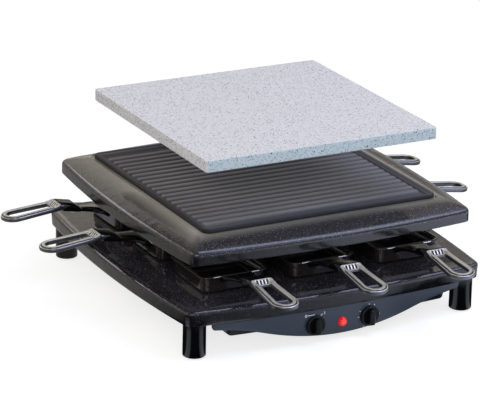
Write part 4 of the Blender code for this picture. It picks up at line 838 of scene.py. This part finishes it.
def pans():
    """Eight pans from one pressing, one neck and one grip."""
    kinds = (
        ("", "_pressing", pan_shells(), [PAN_COAT, PAN_EDGE, BRIGHT_STEEL],
         "non_stick_coating", 35),
        ("_neck", "_moulding", [neck_shell()], [PHENOLIC], "glossy_black_plastic", 35),
        ("_grip", "_loop", grip_shells(), [GUNMETAL, GUNMETAL_PAINTED_SHADE, VENT_BLACK],
         "gunmetal_paint", 40),
    )
    for name, *place, droop in PANS:
        for part, kind, shells, finishes, slot, angle in kinds:
            place_shells = [(to_pan(points, *place, droop if part else 0), *rest)
                            for points, *rest in shells]
            make_piece(f"pan_{name}{part}{kind}", place_shells, finishes, f"pan_{name}",
                       [f"pan_{name}{part}"], angle)


# Legs, panel, housing and controls

def legs():
    """Turned legs with rounded ends, resting on their rubber pads."""
    top, foot, round_off = BASE_LOW - CLEAR, 0.0012, 0.0014
    points, blocks = revolved([
        (0.0108, 0.0038), (0.0108, foot + 0.0002), (0.0112, foot),
        *arc(LEG_RADIUS - round_off, foot + round_off, round_off, -QUARTER, 0, 6),
        (LEG_RADIUS, 0.02), (LEG_RADIUS, top - 0.0004), (LEG_RADIUS - 0.0004, top),
        (0.004, top), (0.004, BASE_LOW + 0.011)], 64)
    for name, side_x, side_y in (("front_left", -1, -1), ("front_right", 1, -1),
                                 ("back_left", -1, 1), ("back_right", 1, 1)):
        moved = points + (side_x * LEG_OFFSET, side_y * LEG_OFFSET, 0)
        make_piece(f"leg_{name}_turning", [(moved, blocks)], [PHENOLIC], "base",
                   [f"leg_{name}"])


def panel_front(x):
    """Y of the panel's face, an arc that follows the bow of the base."""
    return -PANEL_FRONT + PANEL_BOW_RADIUS - np.sqrt(PANEL_BOW_RADIUS ** 2 - np.square(x))


def panel_bottom(x):
    """Height of the panel's lower edge: a parabola, then a hollow wing."""
    share = np.abs(x) / PANEL_ARC_HALF
    span = PANEL_HALF - PANEL_ARC_HALF
    steep = 2 * PANEL_ARC_RISE * span / PANEL_ARC_HALF
    beyond = np.maximum(np.abs(x) - PANEL_ARC_HALF, 0) / span
    middle = PANEL_TOP - PANEL_DROP + PANEL_ARC_RISE * np.minimum(share, 1) ** 2
    return middle + steep * beyond - (steep - PANEL_WING_RISE) * beyond ** 2


def control_panel():
    """Section carried across the panel, round at its lower edge and at its two ends."""
    round_off, lip = 0.0034, 0.0011
    x = spread(PANEL_HALF, 161, 0.9)
    low = panel_bottom(x)
    tall = np.minimum(1, (PANEL_TOP - low) * 0.8 / round_off)
    low = low + tall * sunk(PANEL_HALF - np.abs(x), round_off)
    front, back = panel_front(x), panel_front(x) + PANEL_THICKNESS
    rows = [(back, PANEL_TOP), (front + 0.0004, PANEL_TOP), (front, PANEL_TOP - 0.0005)]
    rows += [(front, PANEL_TOP + (low + lip - PANEL_TOP) * s) for s in (0.25, 0.5, 0.75)]
    rows += [(front + a, low + b) for a, b in arc(lip, lip, lip, 2 * QUARTER, 3 * QUARTER, 5)]
    make_piece("control_panel_face", [carried(x, [*rows, (back, low)])], [PANEL_PLASTIC],
               "base", ["control_panel"])


def housing():
    """Rounded trough behind the panel; its ends and lower edges turn in."""
    x = spread(HOUSING_HALF, 81, 0.7)
    tuck, bend = sunk(HOUSING_HALF - np.abs(x), 0.007), 0.0045
    middle = PANEL_TOP - PANEL_DROP + HOUSING_LIFT + PANEL_ARC_RISE * (x / PANEL_ARC_HALF) ** 2
    low = np.minimum(PANEL_TOP - HOUSING_WING, middle) + tuck
    front = panel_front(x) + PANEL_THICKNESS + CLEAR + tuck * 0.3
    back = -PANEL_FRONT + HOUSING_DEPTH - tuck
    rows = [(front, PANEL_TOP), (front, low + 0.001), (front + 0.001, low)]
    rows += [(back + a, low + b) for a, b in arc(-bend, bend, bend, -QUARTER, 0, 6)]
    make_piece("control_housing_shell", [carried(x, [*rows, (back, PANEL_TOP)])],
               [HOUSING_PLASTIC], "base", ["control_housing"])


def facing_front(points, x, level):
    """Turn a shape that was built along Z to face -Y, and put it at a place on the panel."""
    a, b, c = points.T
    return spots(a + x, panel_front(x) - c, b + level)


def knobs():
    """Ribbed skirt with a finger bar across it."""
    # Radius, height, and how much of the 45 ribs shows there
    radius, height, share = np.array([
        (0.004, 0.0, 0), (KNOB_RADIUS - 0.0006, 0.0, 0), (KNOB_RADIUS, 0.0005, 0.3),
        (KNOB_RADIUS, 0.0022, 1), (KNOB_RADIUS - 0.0003, 0.0031, 0.7),
        (KNOB_RADIUS - 0.0012, 0.0038, 0.2), (KNOB_RADIUS - 0.0022, 0.004, 0),
        (KNOB_RADIUS - 0.0032, 0.0036, 0), (0.004, 0.0036, 0)]).T[..., None]
    radius = radius + 0.00022 * share * np.tile((1, 0, -1, 0), 45)
    cos, sin = circle(180)
    skirt = spots(radius * cos, radius * sin, height)
    # The bar's rings are squarish: half widths and height
    wide, deep, height = np.array([
        (0.0042, 0.0102, 0.003), (0.0042, 0.0102, 0.0075), (0.004, 0.0101, 0.0092),
        (0.0035, 0.0098, 0.0102), (0.0026, 0.0091, 0.0108), (0.0015, 0.008, 0.0109),
    ]).T[..., None]
    cos, sin = (np.sign(v) * np.abs(v) ** 0.36 for v in circle(48))
    bar = spots(wide * cos, deep * sin, height)
    for name, x in zip(("switch", "thermostat"), KNOB_X):
        gap = panel_front(x) - panel_front(abs(x) - KNOB_RADIUS) + 0.0005
        make_piece(f"{name}_knob_moulding",
                   [(facing_front(points + (0, 0, gap), x, KNOB_LEVEL), blocks)
                    for points, blocks in (skin(skirt, caps=True), skin(bar, caps=True))],
                   [KNOB_PLASTIC], f"{name}_knob", [f"{name}_knob"], 45)


def lamp():
    """Domed lens with a short collar."""
    dome = arc(0, 0, 1, 0, math.radians(86), 12) * (LAMP_RADIUS * 0.98, LAMP_DOME)
    points, blocks = revolved([(LAMP_RADIUS - 0.0012, -0.001), (LAMP_RADIUS, -0.001),
                               (LAMP_RADIUS, 0.0006), *(dome + (0, 0.0008))])
    make_piece("lamp_lens_dome", [(facing_front(points, LAMP_X, LAMP_LEVEL), blocks)],
               [RED_LENS], "base", ["lamp_lens"])


def stroke(path, width, closed=False):
    """Flat printed line that follows the panel's face, from (x, level) points."""
    path = np.array(path)
    ahead = np.roll(path, -1, axis=0) - np.roll(path, 1, axis=0)
    if not closed:
        ahead[0], ahead[-1] = path[1] - path[0], path[-1] - path[-2]
    ahead /= np.linalg.norm(ahead, axis=1)[:, None]
    aside = np.stack([-ahead[:, 1], ahead[:, 0]], axis=1) * width / 2
    rings = []
    for side, proud in ((-1, -0.0003), (1, -0.0003), (1, 0.00018), (-1, 0.00018)):
        x, level = (path + side * aside).T
        rings.append(spots(x, panel_front(x) - proud, level))
    return skin(np.stack(rings, axis=1), closed, not closed)


def around(knob, angle, reach):
    """Point on the panel at a clockwise angle from up and a distance from a knob's axis."""
    return (KNOB_X[knob] + reach * math.sin(math.radians(angle)),
            KNOB_LEVEL + reach * math.cos(math.radians(angle)))


def dial_marks():
    """Printed 0 and 1 with their lead lines, and the dots round the thermostat."""
    line, dot = 0.0009, 0.0012
    zero_x, zero_z = around(0, -43, 0.0187)
    one_x, one_z = around(0, 43, 0.0197)
    zero = np.transpose(circle(20)) * (0.0012, 0.0016) + (zero_x, zero_z)
    one = [(one_x, one_z - 0.0019), (one_x, one_z + 0.0019), (one_x - 0.001, one_z + 0.001)]
    bend = [around(0, 34.5 + 3.5 * k, 0.014 + 0.0034 * k - 0.0004 * k * k) for k in (0, 0.5, 1)]
    shells = [
        stroke(zero, 0.0008, closed=True),
        stroke([(zero_x + 0.0024, zero_z), (zero_x + 0.0125, zero_z + 0.0002)], line),
        stroke(one, line), stroke(bend, line),
    ]
    for angle in (-150, -90, -60, 0, 30, 90, 150):
        x, z = around(1, angle, 0.0154)
        shells.append(stroke([(x - dot / 2, z), (x + dot / 2, z)], dot))
    make_piece("dial_marks", shells, [PRINT], "base")


def dress_solids():
    """Finishes for the solids that show as they are."""
    for finish, names in (
            (ZINC, "base_bottom_cover carrier_cross reflector_frame terminal_bracket "
                   "switch_shaft thermostat_shaft thermostat"),
            (MATTE, "center_column rotary_switch lamp_holder cord_gland"),
            (CERAMIC, "terminal_block"),
            (SLEEVE, "wire_live wire_neutral wire_element wire_link wire_lamp"),
            (RUBBER, "foot_pad_front_left foot_pad_front_right foot_pad_back_left "
                     "foot_pad_back_right")):
        for name in names.split():
            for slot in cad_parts[name].material_slots:
                slot.material = finish


hood()
base()
grill_plate()
stone_slab()
heating_element()
pans()
legs()
control_panel()
housing()
knobs()
lamp()
dial_marks()
dress_solids()


# Studio: white floor, white surround, and soft lamps

def light_path(tree):
    """Camera rays, and the rays of reflections and clear pieces."""
    rays = tree.nodes.new("ShaderNodeLightPath").outputs
    mirrored = add(tree, "Math", (rays["Is Glossy Ray"], rays["Is Transmission Ray"]), "MAXIMUM")
    return rays["Is Camera Ray"], mirrored


def leg_bands(tree, x, y):
    """Two tall pale cards beside each front leg, as seen by its shine, and how near the leg is."""
    beside = add(tree, "Math", (x, LEG_OFFSET))
    beside = add(tree, "Math", (beside, LEG_OFFSET, -LEG_OFFSET), "WRAP")
    spot = add(tree, "CombineXYZ", (beside, add(tree, "Math", (y, LEG_OFFSET))))
    _, heading = add(tree, "TexGradient", (spot,), gradient_type="RADIAL")
    # Brightest at headings of 10 and 130 degrees
    wave = add(tree, "Math", (heading, 6 * math.pi, -math.pi / 6), "MULTIPLY_ADD")
    wave = add(tree, "Math", (wave,), "COSINE")
    band = add(tree, "MapRange", (wave, 0.1, 0.9, 0.02, 1.5), **SOFT)
    reach = add(tree, "VectorMath", (spot,), "LENGTH")
    near = add(tree, "MapRange", (reach, 0.105, 0.13, 1.0, 0.0))
    return band, near


def studio_floor():
    """White floor that keeps a soft shadow.

    Reflections see it brighten from the front left corner to the right along the front, and
    half bright beside and behind.
    """
    reach, low = 8.0, -0.0004
    mesh = bpy.data.meshes.new("floor")
    mesh.from_pydata([(-reach, -reach, low), (reach, -reach, low), (reach, reach, low),
                      (-reach, reach, low)], [], [(0, 1, 2, 3)])
    floor = bpy.data.objects.new("floor", mesh)
    bpy.context.scene.collection.objects.link(floor)
    material = bpy.data.materials.new("white_floor")
    material.use_nodes = True
    tree = material.node_tree
    tree.nodes.clear()
    direct, mirrored = light_path(tree)
    place = tree.nodes.new("ShaderNodeTexCoord").outputs["Object"]
    x, y, _ = add(tree, "SeparateXYZ", (place,))
    to_right = add(tree, "MapRange", (x, -0.33, 0.5, 0.02, 2.7), **SOFT)
    at_left = add(tree, "MapRange", (y, -0.25, 0.1, 0.02, 0.55), **SOFT)
    in_front = add(tree, "MapRange", (y, -0.3, -0.1, 1.0, 0.0))
    ahead = add(tree, "Math", (to_right, in_front), "MULTIPLY")
    shine = add(tree, "Math", (ahead, at_left), "MAXIMUM")
    tone = add(tree, "Mix", (in_front, "#f2f0ec", "#dfe5f8"), **COLOUR)
    band, near = leg_bands(tree, x, y)
    card = add(tree, "Emission", (tone, add(tree, "Mix", (near, shine, band))))
    glow = add(tree, "Math", (direct, 0.74), "MULTIPLY")
    seen = add(tree, "AddShader", (add(tree, "BsdfDiffuse", ((0.42, 0.42, 0.42, 1),)),
                                   add(tree, "Emission", {"Strength": glow})))
    add(tree, "OutputMaterial", (add(tree, "MixShader", (mirrored, seen, card)),))
    mesh.materials.append(material)


def studio_world():
    """White backdrop; reflections see it end under a dim ceiling; as a light it is softer."""
    world = bpy.data.worlds.new("studio")
    bpy.context.scene.world = world
    world.use_nodes = True
    tree = world.node_tree
    tree.nodes.clear()
    direct, mirrored = light_path(tree)
    way = tree.nodes.new("ShaderNodeTexCoord").outputs["Generated"]
    x, y, z = add(tree, "SeparateXYZ", (way,))
    # The backdrop ends about 33 degrees up, and dims towards the right, the floor and the front
    ceiling = add(tree, "MapRange", (x, 0.3, 0.44, 0.07, 0.95))
    level = add(tree, "MapRange", (z, 0.49, 0.61, 1.0, ceiling), **SOFT)
    for dimming in ((x, 0.2, 0.55, 1.0, 0.5), (z, 0.08, 0.25, 0.45, 1.0),
                    (y, -0.2, 0.4, 0.2, 1.0)):
        level = add(tree, "Math", (level, add(tree, "MapRange", dimming)), "MULTIPLY")
    # A cool ceiling over the front right, for the rounded front edges
    cool = 1.9
    for share in ((x, 0.1, 0.32), (z, 0.2, 0.45), (y, 0.5, 0.1)):
        cool = add(tree, "Math", (cool, add(tree, "MapRange", share, **SOFT)), "MULTIPLY")
    screen, overhead, soft, white = (add(tree, "Background", row) for row in (
        ("#fff6e8", level), ("#c3cdfb", cool), ("#f7f6f4", 0.42), ("#ffffff", 1.0)))
    shown = add(tree, "AddShader", (screen, overhead))
    unseen = add(tree, "MixShader", (mirrored, soft, shown))
    add(tree, "OutputWorld", (add(tree, "MixShader", (direct, unseen, white)),))


def soft_lamp(name, turn, rise, distance, size, radiance, colour):
    """Area lamp (width, height) aimed at the hood.

    Its power is its radiance times its area times pi.
    """
    way = way_off(turn, rise)
    data = bpy.data.lights.new(name, "AREA")
    data.shape = "RECTANGLE"
    data.size, data.size_y = size
    data.energy = radiance * size[0] * size[1] * math.pi
    data.color = srgb(colour)[:3]
    fitting = bpy.data.objects.new(name, data)
    fitting.location = AIM + way * distance
    fitting.rotation_euler = way.to_track_quat("Z", "Y").to_euler()
    bpy.context.scene.collection.objects.link(fitting)


studio_floor()
studio_world()
soft_lamp("cool_top", 52, 56, 2.1, (1.1, 2.0), 3.3, "#dbe4ff")
soft_lamp("fill_by_camera", -28, 22, 2.6, (1.8, 1.2), 3.1, "#fbfbff")
soft_lamp("warm_left", -100, 40, 2.2, (1.0, 0.8), 2.4, "#fff2de")
soft_lamp("low_strip_behind", 152, 12, 2.4, (2.2, 0.3), 0.5, "#fff3e6")
soft_lamp("edge_light_left", 202, 26, 2.3, (0.9, 0.5), 2.6, "#eef1ff")
